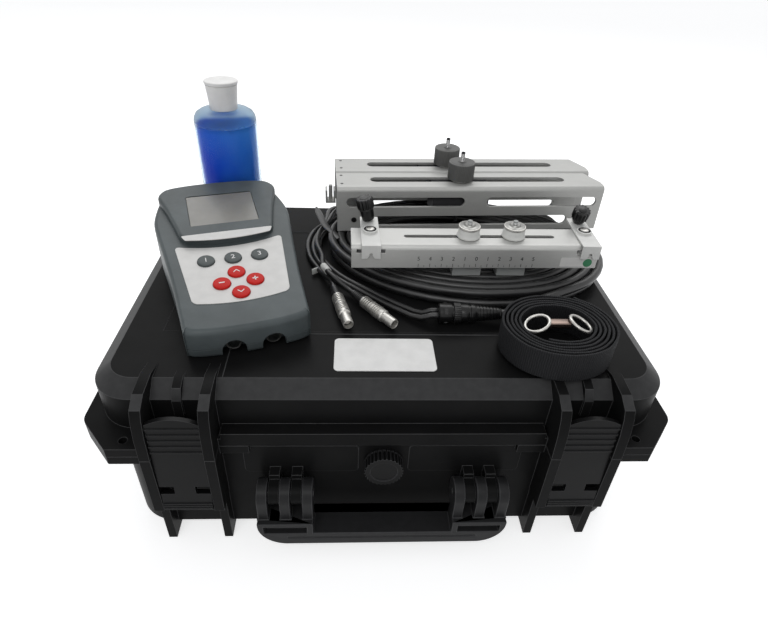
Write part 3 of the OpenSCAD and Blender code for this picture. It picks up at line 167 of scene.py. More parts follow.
def span(value, low, high):
    return Wire.node("MapRange", {"Value": value, "From Min": low, "From Max": high})


def shade(colour, factor):
    return tuple(min(1.0, part * factor) for part in colour)


def emptyTree(owner):
    owner.use_nodes = True
    Wire.tree = owner.node_tree
    Wire.tree.nodes.clear()
    return owner


finishes = {}


def finish(slot, recipe):
    finishes[slot] = emptyTree(bpy.data.materials.new(slot))
    Wire.node("OutputMaterial", {"Surface": Wire.node("BsdfPrincipled", recipe())})
    return finishes[slot]


def moulded(colour, rough, grain=0.7, depth=0.05, worn=1.6, level=0.5):
    # grained plastic: fine bump, cloudy colour, paler on rounded edges as wear and as a painted highlight
    def recipe():
        base = blend(span(noise(34, 4, 0.6), 0.35, 0.65), shade(colour, 0.86), shade(colour, 1.14))
        # rounded edges get a paler colour: partly wear, mostly a painted highlight
        share = attribute("edge") * (span(noise(6, 3), 0.3, 0.7) * 0.2 + 0.8)
        return {"Base Color": blend(share, base, shade(colour, worn)),
                "Roughness": span(noise(3, 3), -1.2, 2.2) * 0.16 + (rough - 0.08),
                "Specular IOR Level": level,
                "Normal": bump(noise(grain, 2), depth, 0.7)}
    return recipe


def drawn(colour, rough, along=(1, 60, 60), depth=0.01, metallic=1.0):
    # metal with fine lines from drawing or brushing
    def recipe():
        lines = noise(9, 5, 0.65, place(along))
        stain = span(noise(22, 4, 0.6), 0.3, 0.75)
        base = blend(span(lines, 0.3, 0.7), shade(colour, 0.9), shade(colour, 1.06))
        base = blend(stain * 0.35, base, shade(colour, 0.82))
        # paler rounded edges: wear and a painted highlight
        base = blend(attribute("edge") * 0.6, base, shade(colour, 1.2))
        return {"Base Color": base, "Metallic": metallic,
                "Roughness": span(lines, 0.2, 0.8) * 0.14 + (rough - 0.07),
                "Normal": bump(lines, depth, 0.5)}
    return recipe


def rubbery(colour, rough):
    def recipe():
        base = blend(span(noise(15, 4), 0.35, 0.7), shade(colour, 0.85), shade(colour, 1.35))
        return {"Base Color": base, "Roughness": span(noise(7, 4), 0.2, 0.8) * 0.14 + (rough - 0.07),
                "Normal": bump(noise(0.5, 3), 0.012, 0.5)}
    return recipe


def openCell(colour):
    def recipe():
        cells = Wire.node("TexVoronoi", {"Vector": place(), "Scale": 1 / (1.3 * mm)})
        base = blend(span(cells, 0.0, 0.6), shade(colour, 0.35), shade(colour, 1.2))
        return {"Base Color": base, "Roughness": 0.95, "Normal": bump(cells, 0.5, 0.9)}
    return recipe


def smooth(colour, rough, depth=0.01, coat=0.0, level=0.4):
    def recipe():
        base = blend(span(noise(12, 3), 0.35, 0.65), shade(colour, 0.95), shade(colour, 1.04))
        # paler rounded edges: wear and a painted highlight
        return {"Base Color": blend(attribute("edge") * 0.3, base, shade(colour, 1.15)),
                "Roughness": span(noise(4, 3), 0.3, 0.7) * 0.08 + (rough - 0.04),
                "Coat Weight": coat, "Specular IOR Level": level, "Normal": bump(noise(1.6, 2), depth, 0.4)}
    return recipe


def ribbedWeb(colour):
    # strap webbing: the attribute "along" is the length in metres, "across" the width
    def recipe():
        along, across = attribute("along"), attribute("across")
        wobble = noise(2.4, 2) * 0.9
        ribs = ((along * (1 / (1.7 * mm)) + wobble) * (2 * pi)).maths("SINE")
        threads = ((across * (1 / (0.75 * mm))) * (2 * pi)).maths("SINE")
        weave = span(ribs, -1, 1) * 0.75 + span(threads, -1, 1) * 0.25
        base = blend(weave, shade(colour, 0.45), shade(colour, 1.5))
        return {"Base Color": base, "Roughness": 0.85 - weave * 0.2, "Specular IOR Level": 0.22,
                "Normal": bump(weave, 0.35, 0.8)}
    return recipe


# Where the bottle's and the gel's colours change, in metres; the gel's paler right side is painted light
fades = {"bottleTop": (0.258, 0.268), "gelTop": (0.225, 0.268), "gelRight": (-0.178, -0.132)}


def clearPlastic(colour, rough, ior):
    # bottle plastic, cloudier above the filling
    def recipe():
        high = span(placeAlong("Z"), *fades["bottleTop"])
        base = blend(noise(20, 2), shade(colour, 0.97), colour)
        return {"Base Color": blend(high, base, shade(colour, 0.7)),
                "Roughness": span(noise(8, 2), 0.3, 0.7) * 0.05 + rough + high * 0.3,
                "Transmission Weight": 1.0, "IOR": ior,
                "Normal": bump(noise(14, 2), 0.12, 0.35)}
    return recipe


def cloudyGel(dark, bright):
    # thick gel: bright and dark clouds, paler near the top, and paler on the right as painted light
    def recipe():
        # painted light: the gel is made paler towards its right side
        right = span(placeAlong("X"), *fades["gelRight"])
        high = span(placeAlong("Z"), *fades["gelTop"])
        cloud = span(noise(26, 3, 0.6, place((1, 1, 0.5))), 0.35, 0.65)
        base = blend(right * 0.7 + high * 0.35 + cloud * 0.2, dark, bright)
        return {"Base Color": base, "Roughness": span(noise(4, 3), 0.3, 0.7) * 0.08 + 0.3,
                "Specular IOR Level": 0.06, "Normal": bump(noise(9, 2), 0.3, 0.4)}
    return recipe


def speckled(colour, rough):
    # circuit board: solder mask over faint tracks
    def recipe():
        tracks = Wire.node("TexVoronoi", {"Vector": place(), "Scale": 1 / (7 * mm)}, feature="DISTANCE_TO_EDGE")
        return {"Base Color": blend(span(tracks, 0.0, 0.12), shade(colour, 1.9), colour), "Roughness": rough}
    return recipe


colours = {"black": (0.009, 0.009, 0.0091), "deepBlack": (0.0055, 0.0055, 0.0057), "shell": (0.076, 0.09, 0.093),
           "white": (0.68, 0.67, 0.65), "red": (0.56, 0.012, 0.008), "darkKey": (0.075, 0.088, 0.088),
           "alloy": (0.45, 0.45, 0.435), "paleAlloy": (0.5, 0.5, 0.485), "nickel": (0.5, 0.49, 0.465),
           "knob": (0.1, 0.1, 0.096), "cable": (0.013, 0.013, 0.0135), "web": (0.009, 0.0093, 0.0105),
           "bottle": (0.72, 0.86, 0.97)}

recipes = {
    # the edge factors below paint a highlight onto the rounded edges, with some wear; strongest on the black case,
    # latches and screws
    "case_black": moulded(colours["black"], 0.4, worn=8.5, level=0.04),
    "latch_black": moulded(colours["deepBlack"], 0.36, depth=0.03, worn=9, level=0.11),
    "gasket": rubbery((0.015, 0.015, 0.015), 0.7),
    "foam": openCell((0.045, 0.045, 0.05)),
    "pin_steel": drawn((0.6, 0.6, 0.6), 0.3),
    "white_plate": smooth((0.7, 0.695, 0.68), 0.34, coat=0.1),
    "shell_grey": moulded(colours["shell"], 0.42, grain=0.5, depth=0.02, worn=1.3, level=0.25),
    "shell_grey_dark": moulded(shade(colours["shell"], 0.8), 0.45, grain=0.5, depth=0.02, worn=1.3, level=0.25),
    "window": smooth((0.175, 0.169, 0.151), 0.34, depth=0.004, coat=0.1),
    "lcd": smooth((0.2, 0.22, 0.19), 0.3),
    "keypad_white": smooth(colours["white"], 0.4, depth=0.006, level=0.3),
    "key_dark": smooth(colours["darkKey"], 0.4, level=0.2),
    "key_red": smooth(colours["red"], 0.4, level=0.14),
    "board_green": speckled((0.03, 0.16, 0.08), 0.35),
    "cell_blue": smooth((0.03, 0.08, 0.2), 0.35, coat=0.4),
    "nickel": drawn(colours["nickel"], 0.36, (1, 1, 1), 0.001, 0.8),
    "rail_alloy": drawn(colours["alloy"], 0.5, (0.6, 34, 34), 0.008, 0.4),
    "knob_grey": moulded(colours["knob"], 0.5, grain=0.4, depth=0.03, worn=1.7, level=0.3),
    "probe_dark": moulded((0.03, 0.03, 0.033), 0.5, level=0.3),
    "rail_light": drawn(colours["paleAlloy"], 0.48, (0.6, 34, 34), 0.006, 0.5),
    "screw_black": moulded(colours["deepBlack"], 0.3, grain=0.4, depth=0.02, worn=3.5, level=0.3),
    "sensor_grey": smooth((0.34, 0.35, 0.34), 0.4),
    "collar_white": smooth((0.7, 0.7, 0.67), 0.42),
    "cable_black": rubbery(colours["cable"], 0.36),
    "webbing": ribbedWeb(colours["web"]),
    "bottle_clear": clearPlastic(colours["bottle"], 0.06, 1.12),
    "gel_blue": cloudyGel((0.0004, 0.014, 0.46), (0.05, 0.2, 0.55)),
    "cap_white": smooth((0.88, 0.87, 0.85), 0.4),
}
for slotName, recipe in recipes.items():
    finish(slotName, recipe)
inkFinish = finish("printed_ink", smooth((0.03, 0.03, 0.03), 0.5))
whiteInk = finish("white_ink", smooth((0.75, 0.75, 0.74), 0.4))
greenDot = finish("green_dot", smooth((0.02, 0.2, 0.08), 0.35))
copperFinish = finish("copper", drawn((0.2, 0.15, 0.13), 0.32))
greyMetal = finish("grey_metal", drawn((0.25, 0.25, 0.24), 0.3, (1, 1, 1), 0.001))
paleMetal = finish("pale_metal", drawn((0.68, 0.68, 0.66), 0.5, (1, 1, 1), 0.002, 0.15))
print("materials are made:", len(finishes))


# Tools for making pieces

def show(name, mesh, body, slot, replaced=(), material=None):
    made = linked(name, mesh)
    mesh.materials.clear()
    mesh.materials.append(material or finishes[slot])
    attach(made, body)
    if replaced:
        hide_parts(*replaced)
    return made


def meshOf(bm, name, sharp=30):
    bmesh.ops.recalc_face_normals(bm, faces=bm.faces)
    for face in bm.faces:
        face.smooth = True
    mesh = bpy.data.meshes.new(name)
    bm.to_mesh(mesh)
    bm.free()
    mesh.set_sharp_from_angle(angle=radians(sharp))
    return mesh


def weighted(made):
    made.modifiers.new("weighted", "WEIGHTED_NORMAL").keep_sharp = True


def rounded(bm, width, segments, edges):
    # bevels the edges and marks the new faces for the pale edge colour, which is wear and a painted highlight
    layer = bm.faces.layers.float.get("edge") or bm.faces.layers.float.new("edge")
    made = bmesh.ops.bevel(bm, geom=edges, offset=width * mm, offset_type="OFFSET", affect="EDGES",
                           segments=segments, profile=0.5, material=-1, clamp_overlap=False)
    for face in made["faces"]:
        face[layer] = 1.0


def spun(bm, steps, at):
    # full turn of what is in bm round the upright axis, set in its place
    bmesh.ops.spin(bm, geom=bm.verts[:] + bm.edges[:], cent=(0, 0, 0), axis=(0, 0, 1), angle=2 * pi,
                   steps=steps, use_merge=True)
    bmesh.ops.remove_doubles(bm, verts=bm.verts, dist=0.0005 * mm)
    bmesh.ops.transform(bm, matrix=at, verts=bm.verts)


def turned(name, profile, at, body, slot, replaced=(), steps=64, material=None, sharp=30):
    # profile is radius and height in millimetres, closed onto the axis where the radius is 0
    bm = bmesh.new()
    ring = [bm.verts.new(point(r, 0, z)) for r, z in profile]
    if profile[0][0] > 0 and profile[-1][0] > 0:
        ring.append(ring[0])
    for pair in zip(ring, ring[1:]):
        bm.edges.new(pair)
    spun(bm, steps, at)
    return show(name, meshOf(bm, name, sharp), body, slot, replaced, material)


def extruded(bm, outline, low, high):
    # upright prism over an outline in millimetres
    base = bm.faces.new([bm.verts.new(point(x, y, low)) for x, y in outline])
    up = bmesh.ops.extrude_face_region(bm, geom=[base])
    raised = [v for v in up["geom"] if isinstance(v, bmesh.types.BMVert)]
    bmesh.ops.translate(bm, vec=point(0, 0, high - low), verts=raised)


def oblong(left, right, low, high):
    return [(left, low), (right, low), (right, high), (left, high)]


def rise(edge):
    return abs(edge.verts[0].co.z - edge.verts[1].co.z)


def prism(outline, low, high, at, soft=0.0, segments=2, chosen=lambda edge: True):
    # block over an outline, its chosen edges rounded, set in its place
    bm = bmesh.new()
    extruded(bm, outline, low, high)
    if soft:
        rounded(bm, soft, segments, [e for e in bm.edges if chosen(e)])
    bmesh.ops.transform(bm, matrix=at, verts=bm.verts)
    return bm


def cut(made, other):
    # cuts by a second mesh, which is then deleted
    tool = linked("tool", other)
    modifier = made.modifiers.new("cut", "BOOLEAN")
    modifier.operation, modifier.object, modifier.solver = "DIFFERENCE", tool, "EXACT"
    bpy.context.view_layer.update()
    shown = made.evaluated_get(bpy.context.evaluated_depsgraph_get())
    result = bpy.data.meshes.new_from_object(shown)
    made.modifiers.remove(modifier)
    result.set_sharp_from_angle(angle=radians(40))
    old, made.data = made.data, result
    bpy.data.meshes.remove(old)
    bpy.data.objects.remove(tool)
    bpy.data.meshes.remove(other)


# Cords: the coil, its trunk and the two sensor leads, along the same routes as in CAD
rest = 156.3
cable = {"radius": 4.0, "pitch": 9.2, "loops": 5, "rings": 24, "layer": 8.7, "a": 138, "b": 99,
         "x": 84, "y": 42, "turned": -10, "end": -48, "capRadius": 4.6}
leads = {"radius": 2.5, "gap": 0.7, "plugZ": rest + 5.6, "boot": 16, "port": 3.4}
leads["low"] = rest + leads["radius"]
laneStep = 2 * leads["radius"] + leads["gap"]
leads["high"] = leads["low"] + laneStep
laneOne = cable["radius"] + leads["radius"] + leads["gap"]
laneTwo = laneOne + laneStep
laneThree = laneTwo + laneStep
plugs = {"left": ((-38.9, -47.5), -76.2), "right": ((-15.5, -53.4), -53.8)}
inline = {"at": (47, -75, rest + 9), "length": 54}


def oval(grown, angle, z):
    u = (cable["a"] + grown) * cos(radians(angle))
    v = (cable["b"] + grown) * sin(radians(angle))
    c, s = cos(radians(cable["turned"])), sin(radians(cable["turned"]))
    return Vector((cable["x"] + u * c - v * s, cable["y"] + u * s + v * c, z))


def coilRoute():
    rings = cable["rings"]
    half, last = cable["loops"] * rings, 2 * cable["loops"] * rings + rings // 2
    body = []
    for i in range(last + 1):
        climb = min(1, max(0, (i - half) / (rings / 2)))
        angle = cable["end"] - 360 * (i - 2 * half - rings / 2) / rings
        body.append(oval(-min(i, last - i) * cable["pitch"] / rings, angle,
                         rest + cable["radius"] + cable["layer"] * climb))
    start = body[0] + 2 * cable["radius"] * (body[0] - body[1]).normalized()
    start.z += cable["capRadius"] - cable["radius"]
    end = body[-1] + 2 * cable["radius"] * (body[-1] - body[-2]).normalized()
    return [start, *body, end]


def curved(points, steps):
    # smooth line through given points
    made = []
    for i in range(len(points) - 1):
        a, b = points[max(i - 1, 0)], points[i]
        c, d = points[i + 1], points[min(i + 2, len(points) - 1)]
        for k in range(steps):
            t = k / steps
            made.append(0.5 * (2 * b + (c - a) * t + (2 * a - 5 * b + 4 * c - d) * t ** 2
                               + (3 * b - a - 3 * c + d) * t ** 3))
    return [*made, points[-1]]


def behindPlug(side, back):
    (x, y), angle = plugs[side]
    reach = leads["boot"] + back
    return Vector((x - reach * cos(radians(angle)), y - reach * sin(radians(angle)),
                   leads["plugZ"]))


def leadRoutes():
    low, high, port = leads["low"], leads["high"], leads["port"]
    start = Vector(inline["at"])
    left = [start - Vector((0, port, 0)), start - Vector((6, port, 0)), Vector((25, -71.5, low + 1))]
    left += [oval(laneTwo, a, low) for a in range(-127, -198, -14)]
    left += [Vector((x, y, low)) for x, y in ((-41, 118), (-35, 128), (-36, 139), (-45, 142), (-53, 132))]
    left += [oval(laneThree, a, low) for a in range(-199, -159, 13)]
    left += [Vector((-57.5, 2, low + 1)), behindPlug("left", 12), behindPlug("left", 0)]
    right = [start + Vector((0, port, 0)), start + Vector((-6, port, 0)), Vector((28, -65, low + 1))]
    right += [oval(laneOne, a, low) for a in range(-126, -197, -14)]
    right += [Vector(p) for p in ((-36.5, 110.5, low), (-28, 119.5, low), (-22, 128, low + 1),
                                  (-26, 136.5, high - 2), (-35.5, 134, high + 0.6), (-46, 118, high + 0.6))]
    right += [oval(laneOne + 2, a, high + 0.4) for a in range(-194, -154, 13)]
    right += [Vector((-53.5, -1, high + 2)), Vector((-46, -19, high + 3.6)),
              behindPlug("right", 10), behindPlug("right", 0)]
    return left, right


def strand(name, route, radius, replaced, steps=3):
    line = [p * mm for p in curved(route, steps)]
    shape = bpy.data.curves.new(name, "CURVE")
    shape.dimensions, shape.bevel_depth, shape.bevel_resolution = "3D", radius * mm, 4
    shape.use_fill_caps = True
    spline = shape.splines.new("POLY")
    spline.points.add(len(line) - 1)
    for spot, here in zip(spline.points, line):
        spot.co = (*here, 1)
    spline.use_smooth = True
    length = sum((b - a).length for a, b in zip(line, line[1:]))
    return show(name, shape, "lid", "cable_black", replaced), length


coilPath = coilRoute()
trunkPath = [coilPath[-1], Vector((137, -59, 168)), Vector((123, -67, 166.5)), Vector((112, -73.5, 165.5)),
             Vector(inline["at"]) + Vector((inline["length"] + 3, 0, 0)),
             Vector(inline["at"]) + Vector((inline["length"], 0, 0))]
leftPath, rightPath = leadRoutes()
coil, coilLength = strand("coiledCable", coilPath + curved(trunkPath, 3)[1:], cable["radius"],
                          ["cable_coil", "trunk_lead"], 2)
leftLead, leftLength = strand("sensorLeadLeft", leftPath, leads["radius"], ["lead_left"])
rightLead, rightLength = strand("sensorLeadRight", rightPath, leads["radius"], ["lead_right"])
print("cords:", round(coilLength, 3), round(leftLength, 3), round(rightLength, 3))


# Handset: one moulded body, with a raised part round the display
meter = {"at": (-103.8, -117, rest), "turn": 17.1, "long": 196, "wide": 122, "front": 25, "slope": 8.8,
         "step": 6.4, "split": 8, "seam": 0.15, "arch": 9.5, "archZ": 4.5, "sockets": (-13, 18),
         "displayY": 149.9, "display": (60, 47)}
meterHalf = [(0, 0), (0.17, 0.003), (0.29, 0.011), (0.36, 0.022), (0.39, 0.036), (0.4, 0.055), (0.425, 0.3),
             (0.462, 0.52), (0.492, 0.68), (0.5, 0.74), (0.497, 0.79), (0.475, 0.86), (0.445, 0.925),
             (0.42, 0.955), (0.38, 0.975), (0.3, 0.988), (0.16, 0.997), (0, 1)]
raisedHalf = [(0, 105), (14, 105.9), (27, 108.4), (34, 110.4), (38, 112.6), (40.6, 116), (41.8, 121), (44.2, 133),
              (47.4, 148), (51, 163), (54.2, 174), (54.5, 181.2), (51.4, 187.2), (46.5, 191.2), (36.7, 193.7),
              (19.6, 195.5), (0, 196)]
onMeter = move(*meter["at"]) @ turn(meter["turn"], "Z")


def mirrored(half):
    # closed smooth outline from its right half
    line = [(p.x, p.y) for p in curved([Vector((x, y, 0)) for x, y in half], 3)]
    return line + [(-x, y) for x, y in reversed(line[1:-1])]


def meterPlan(inset):
    # outline of the handset, inset on every side
    wide, long = meter["wide"] - 2 * inset, meter["long"] - 2 * inset
    return mirrored([(w * wide, inset + l * long) for w, l in meterHalf])


def raisedPlan(inset):
    line = mirrored(raisedHalf)
    moved = []
    for k, (x, y) in enumerate(line):
        (ax, ay), (bx, by) = line[k - 1], line[(k + 1) % len(line)]
        across = Vector((ay - by, bx - ax)).normalized() * inset
        moved.append((x + across.x, y + across.y))
    return moved


def faceZ(y):
    return meter["front"] + tan(radians(meter["slope"])) * y


def onFace(x, y, rise=0.0):
    return onMeter @ move(x, y, faceZ(y)) @ turn(meter["slope"], "X") @ move(0, 0, rise)


def lofted(rings):
    # solid through rings of points in millimetres, all with the same number of points
    bm = bmesh.new()
    number = bm.verts.layers.int.new("number")
    face = bm.faces.new([bm.verts.new(point(*spot)) for spot in rings[0]])
    for k, vert in enumerate(face.verts):
        vert[number] = k
    for ring in rings[1:]:
        grown = bmesh.ops.extrude_face_region(bm, geom=[face])
        face = next(made for made in grown["geom"] if isinstance(made, bmesh.types.BMFace))
        for vert in face.verts:
            vert.co = point(*ring[vert[number]])
    return bm


def moulding(plan, low, top, soft, foot=0.0, steps=6):
    # upright block over plan(inset), its top following top(x, y), with a softly rounded rim
    rings = [[(x, y, low) for x, y in plan(foot)]]
    if foot:
        rings += [[(x, y, low + foot * (1 - cos(a))) for x, y in plan(foot * (1 - sin(a)))]
                  for a in (0.5, 1.0, pi / 2)]
    for a in (pi / 2 * k / steps for k in range(steps + 1)):
        rings.append([(x, y, top(x, y) - soft * (1 - sin(a))) for x, y in plan(soft * (1 - cos(a)))])
    return lofted(rings)


def meterShell(name, bm, slot, replaced=()):
    return show(name, meshOf(bm, name, 40), "meter", slot, replaced)


def archHoles(made):
    # round-topped holes under the front edge, for the sockets
    r = meter["arch"]
    arc = [(r * cos(radians(a)), r * sin(radians(a))) for a in range(0, 181, 10)]
    for x in meter["sockets"]:
        at = move(x, 6, meter["archZ"]) @ turn(90, "X")
        cut(made, meshOf(prism([(-r, -12), (r, -12), *arc], -6, 13, at), "arch"))


def meterShells():
    body = moulding(meterPlan, meter["split"] + meter["seam"], lambda x, y: faceZ(y), 4, steps=8)
    upper = meterShell("handsetUpper", body, "shell_grey", ["meter_front_shell"])
    archHoles(upper)
    high = moulding(raisedPlan, meter["split"] + 6, lambda x, y: faceZ(y) + meter["step"], 3.4)
    raised = meterShell("handsetRaised", high, "shell_grey")
    w, d = (side / 2 + 0.5 for side in meter["display"])
    y = meter["displayY"]
    recess = prism(oblong(-w, w, -d, d), -1.8, 9, move(0, y, faceZ(y) + meter["step"]) @ turn(meter["slope"], "X"),
                   2.5, 5, lambda edge: rise(edge) > 5 * mm)
    cut(raised, meshOf(recess, "recess"))
    base = moulding(meterPlan, 0, lambda x, y: meter["split"] - meter["seam"], 0.4, foot=3, steps=2)
    lower = meterShell("handsetLower", base, "shell_grey_dark", ["meter_back_shell"])
    archHoles(lower)
    for made in (upper, raised, lower):
        made.data.transform(onMeter)
        weighted(made)


meterShells()
print("handset shells are made")


keys = {"radius": 7.2, "rise": 2.3, "under": 2.9, "rim": 7.7, "rimUnder": 4.1, "gap": 0.3,
        "places": {"one": (-22.5, 82.6), "two": (0, 82.6), "three": (22.5, 82.6), "up": (0, 63.8),
                   "minus": (-13.5, 51.5), "plus": (13.5, 51.5), "down": (0, 38.5)},
        "signs": {"one": "1", "two": "2", "three": "3"}, "signSize": 7.4, "ink": 0.05,
        "arrow": (2.6, 0.85), "stroke": (4.6, 1.1)}
sheet = {"thick": 0.6, "sharp": 35}


def figures(words, size, at):
    # plain figures as a thin mesh, centred on the place
    shape = bpy.data.curves.new("figures", "FONT")
    shape.body, shape.size, shape.extrude = words, size * mm, keys["ink"] * mm
    shape.align_x = shape.align_y = "CENTER"
    held = linked("figures", shape)
    bpy.context.view_layer.update()
    mesh = bpy.data.meshes.new_from_object(held)
    bpy.data.objects.remove(held)
    mesh.transform(at)
    return mesh


def plate(name, outline, low, high, corner, at, body, slot, replaced=(), soft=0.15, holes=None, material=None):
    # thin plate over an outline, with round corners and eased edges
    bm = bmesh.new()
    extruded(bm, outline, low, high)
    sharp = radians(sheet["sharp"])
    rounded(bm, corner, 5, [e for e in bm.edges if rise(e) > 0.5 * (high - low) * mm
                            and e.calc_face_angle(0) > sharp])
    rounded(bm, soft, 2, [e for e in bm.edges if all(abs(v.co.z - high * mm) < 0.001 * mm for v in e.verts)
                          and e.calc_face_angle(0) > sharp])
    made = show(name, meshOf(bm, name), body, slot, replaced, material)
    if holes:
        cut(made, holes)
    made.data.transform(at)
    weighted(made)


def bowedLine(wide, y, bow, n=10):
    return [(k / n * wide / 2, y - bow + bow * (k / n) ** 2) for k in range(-n, n + 1)]


def keyHoles():
    bm = bmesh.new()
    radius = (keys["radius"] + keys["gap"]) * mm
    for x, y in keys["places"].values():
        made = bmesh.ops.create_cone(bm, cap_ends=True, segments=48, radius1=radius, radius2=radius, depth=8 * mm)
        slope = move(x, y, tan(radians(meter["slope"])) * y) @ turn(meter["slope"], "X")
        bmesh.ops.transform(bm, matrix=turn(-meter["slope"], "X") @ slope, verts=made["verts"])
    return meshOf(bm, "holes")


def sign(name, outline, at, body):
    # flat mark in white ink
    bm = prism(outline, -keys["ink"], keys["ink"], at)
    show(name, meshOf(bm, name), body, "keypad_white", (), whiteInk)


def arrowHead():
    w, thick = keys["arrow"]
    low, tip, down = -w * 0.45, w * 0.55, 1.35 * thick
    return [(-w, low), (0, tip), (w, low), (w, low - down), (0, tip - down), (-w, low - down)]


def pressKey(which):
    x, y = keys["places"][which]
    body, node, title = "press_" + which, "key_" + which, which.capitalize()
    r, top, under, rim, rimUnder = (keys[size] for size in ("radius", "rise", "under", "rim", "rimUnder"))
    profile = [(0, top + 0.12), (r * 0.5, top + 0.09), (r - 1.1, top), (r - 0.45, top - 0.16),
               (r - 0.1, top - 0.5), (r, top - 0.95), (r, -under), (rim, -under), (rim, -rimUnder), (0, -rimUnder)]
    turned("button" + title, profile, onFace(x, y), body, slotOf[node], [node])
    at = onFace(x, y, top + 0.13)
    w, d = (side / 2 for side in keys["stroke"])
    if which in keys["signs"]:
        mesh = figures(keys["signs"][which], keys["signSize"], at)
        show("figure" + title, mesh, body, "keypad_white", (), whiteInk)
    elif which in ("up", "down"):
        at = at @ turn(180 if which == "down" else 0, "Z") @ move(0, 0.4, 0)
        sign("arrow" + title, arrowHead(), at, body)
    else:
        sign("stroke" + title, oblong(-w, w, -d, d), at, body)
        if which == "plus":
            sign("strokeAcross", oblong(-d, d, -w, w), at, body)


def keypad():
    onSlope = onMeter @ move(0, 0, faceZ(0)) @ turn(meter["slope"], "X")
    outline = bowedLine(77, 33.8, 5) + bowedLine(92.6, 109, 8)[::-1]
    plate("keypadSheet", outline, 0, sheet["thick"], 4.5, onSlope, "meter", "keypad_white", ["keypad_overlay"],
          holes=keyHoles())
    outline = bowedLine(73.6, 108.2, 4) + bowedLine(79, 114.9, 0)[::-1]
    plate("bareStrip", outline, meter["step"], meter["step"] + sheet["thick"], 1.5, onSlope, "meter",
          "keypad_white", ["name_strip"])
    for which in keys["places"]:
        pressKey(which)


keypad()
print("keypad is made")


# Knobs, nuts, collars and thumb screws
rail = {"at": (-41.3, 56.4, 173.3), "turn": 3.3, "wide": 41, "pitch": 41.4, "high": 47, "probes": (126.5, 119.5)}
small = {"at": (-27, -35.4, 185), "turn": 1.3, "wide": 36.8, "high": 22, "sensors": (105, 146),
         "ends": (17, 213), "endY": 23, "swing": (0, -3), "tilt": ((0, -12), (20, 0)), "neck": (11, 4)}
clear = 0.3  # room between stacked parts


def onRail(i):
    return move(*rail["at"]) @ turn(rail["turn"], "Z") @ move(0, i * rail["pitch"], 0)


def onSmall():
    return move(*small["at"]) @ turn(small["turn"], "Z")


def fluted(name, ribs, low, high, soft, at, body, slot, replaced=(), fine=2):
    # upright knob with eased ends; ribs is its radius, their depth and their count
    radius, depth, count = ribs
    steps = count * 2 * fine
    ring = []
    for k in range(steps):
        wave = 0.5 + 0.5 * cos(2 * pi * k / (2 * fine))
        r = radius - depth * (1 - wave)
        ring.append((r * cos(2 * pi * k / steps), r * sin(2 * pi * k / steps)))
    bm = prism(ring, low, high, at, soft, 3, lambda edge: rise(edge) < 0.001 * mm)
    return show(name, meshOf(bm, name, 50), body, slot, replaced)


def threaded(name, radius, low, high, pitch, at, body):
    profile = [(0, low)]
    z = low
    while z < high - 1.2:
        profile += [(radius - 0.22, z), (radius, z + pitch / 2)]
        z += pitch
    profile += [(radius - 0.2, high - 1), (radius - 0.5, high), (0, high)]
    turned(name, profile, at, body, "pin_steel", steps=24, sharp=20)


knob = {"ribs": (13.3, 0.42, 46), "ends": (1.0, 18.6, 0.9), "thread": (2.12, 17.0, 28.0, 0.8),
        "washer": [(2.2, 0), (10.5, 0), (10.5, 0.8), (10.2, 1.0), (2.2, 1.0)],
        "face": [(2.3, 18.5), (2.3, 19.1), (4.2, 19.1), (4.4, 18.75), (11.4, 18.75), (11.7, 18.5)]}


def railKnob(i, name):
    at = onRail(i) @ move(rail["probes"][i], rail["wide"] / 2, rail["high"] + clear)
    body = name + "_knob"
    fluted(name + "Knob", knob["ribs"], *knob["ends"], at, body, "knob_grey", [name + "_rail_knob"])
    turned(name + "Washer", knob["washer"], at, body, "nickel")
    turned(name + "KnobFace", knob["face"], at, body, "knob_grey")
    threaded(name + "StudThread", *knob["thread"], at, name + "_slider")


nut = {"ribs": (9.8, 0.25, 40), "ends": (0.0, 2.4, 0.4), "seat": 8.15, "thread": (2.1, 9.0, 15.0, 0.7),
       "collar": [(2.1, 0), (10.1, 0), (10.5, 0.5), (10.5, 1.6), (9.9, 2.6), (9.6, 4.2), (9.5, 7.5), (9.2, 8.0),
                  (2.1, 8.0)],
       "face": [(2.1, 2.3), (2.1, 4.0), (2.4, 4.2), (4.3, 4.2), (4.6, 3.9), (5.2, 2.75), (5.6, 2.55), (8.8, 2.5),
                (9.1, 2.3)]}


def sensorTop(i, side):
    at = onSmall() @ move(small["sensors"][i], small["wide"] / 2, small["high"] + clear)
    up = at @ move(0, 0, nut["seat"])
    sensor, body = side + "_sensor", side + "_nut"
    turned(side + "Collar", nut["collar"], at, sensor, "collar_white", ["collar_" + side])
    fluted(side + "Nut", nut["ribs"], *nut["ends"], up, body, "nickel", ["sensor_nut_" + side])
    turned(side + "NutFace", nut["face"], up, body, "nickel", material=greyMetal)
    threaded(side + "SensorThread", *nut["thread"], at, sensor)


thumb = {"ribs": (7.8, 1.1, 14), "high": 10.0, "soft": 1.0, "arm": 22, "plate": 1.8, "tab": 5.6,
         "bush": [(3.7, 0), (6.6, 0), (6.6, 1.6), (6.2, 2.3), (5.6, 2.4), (3.9, 2.4), (3.7, 2.2)],
         "pivot": [(0, 1.5), (0, 3.15), (2.9, 3.15), (3.4, 2.95), (3.55, 2.5), (3.55, 1.5)]}


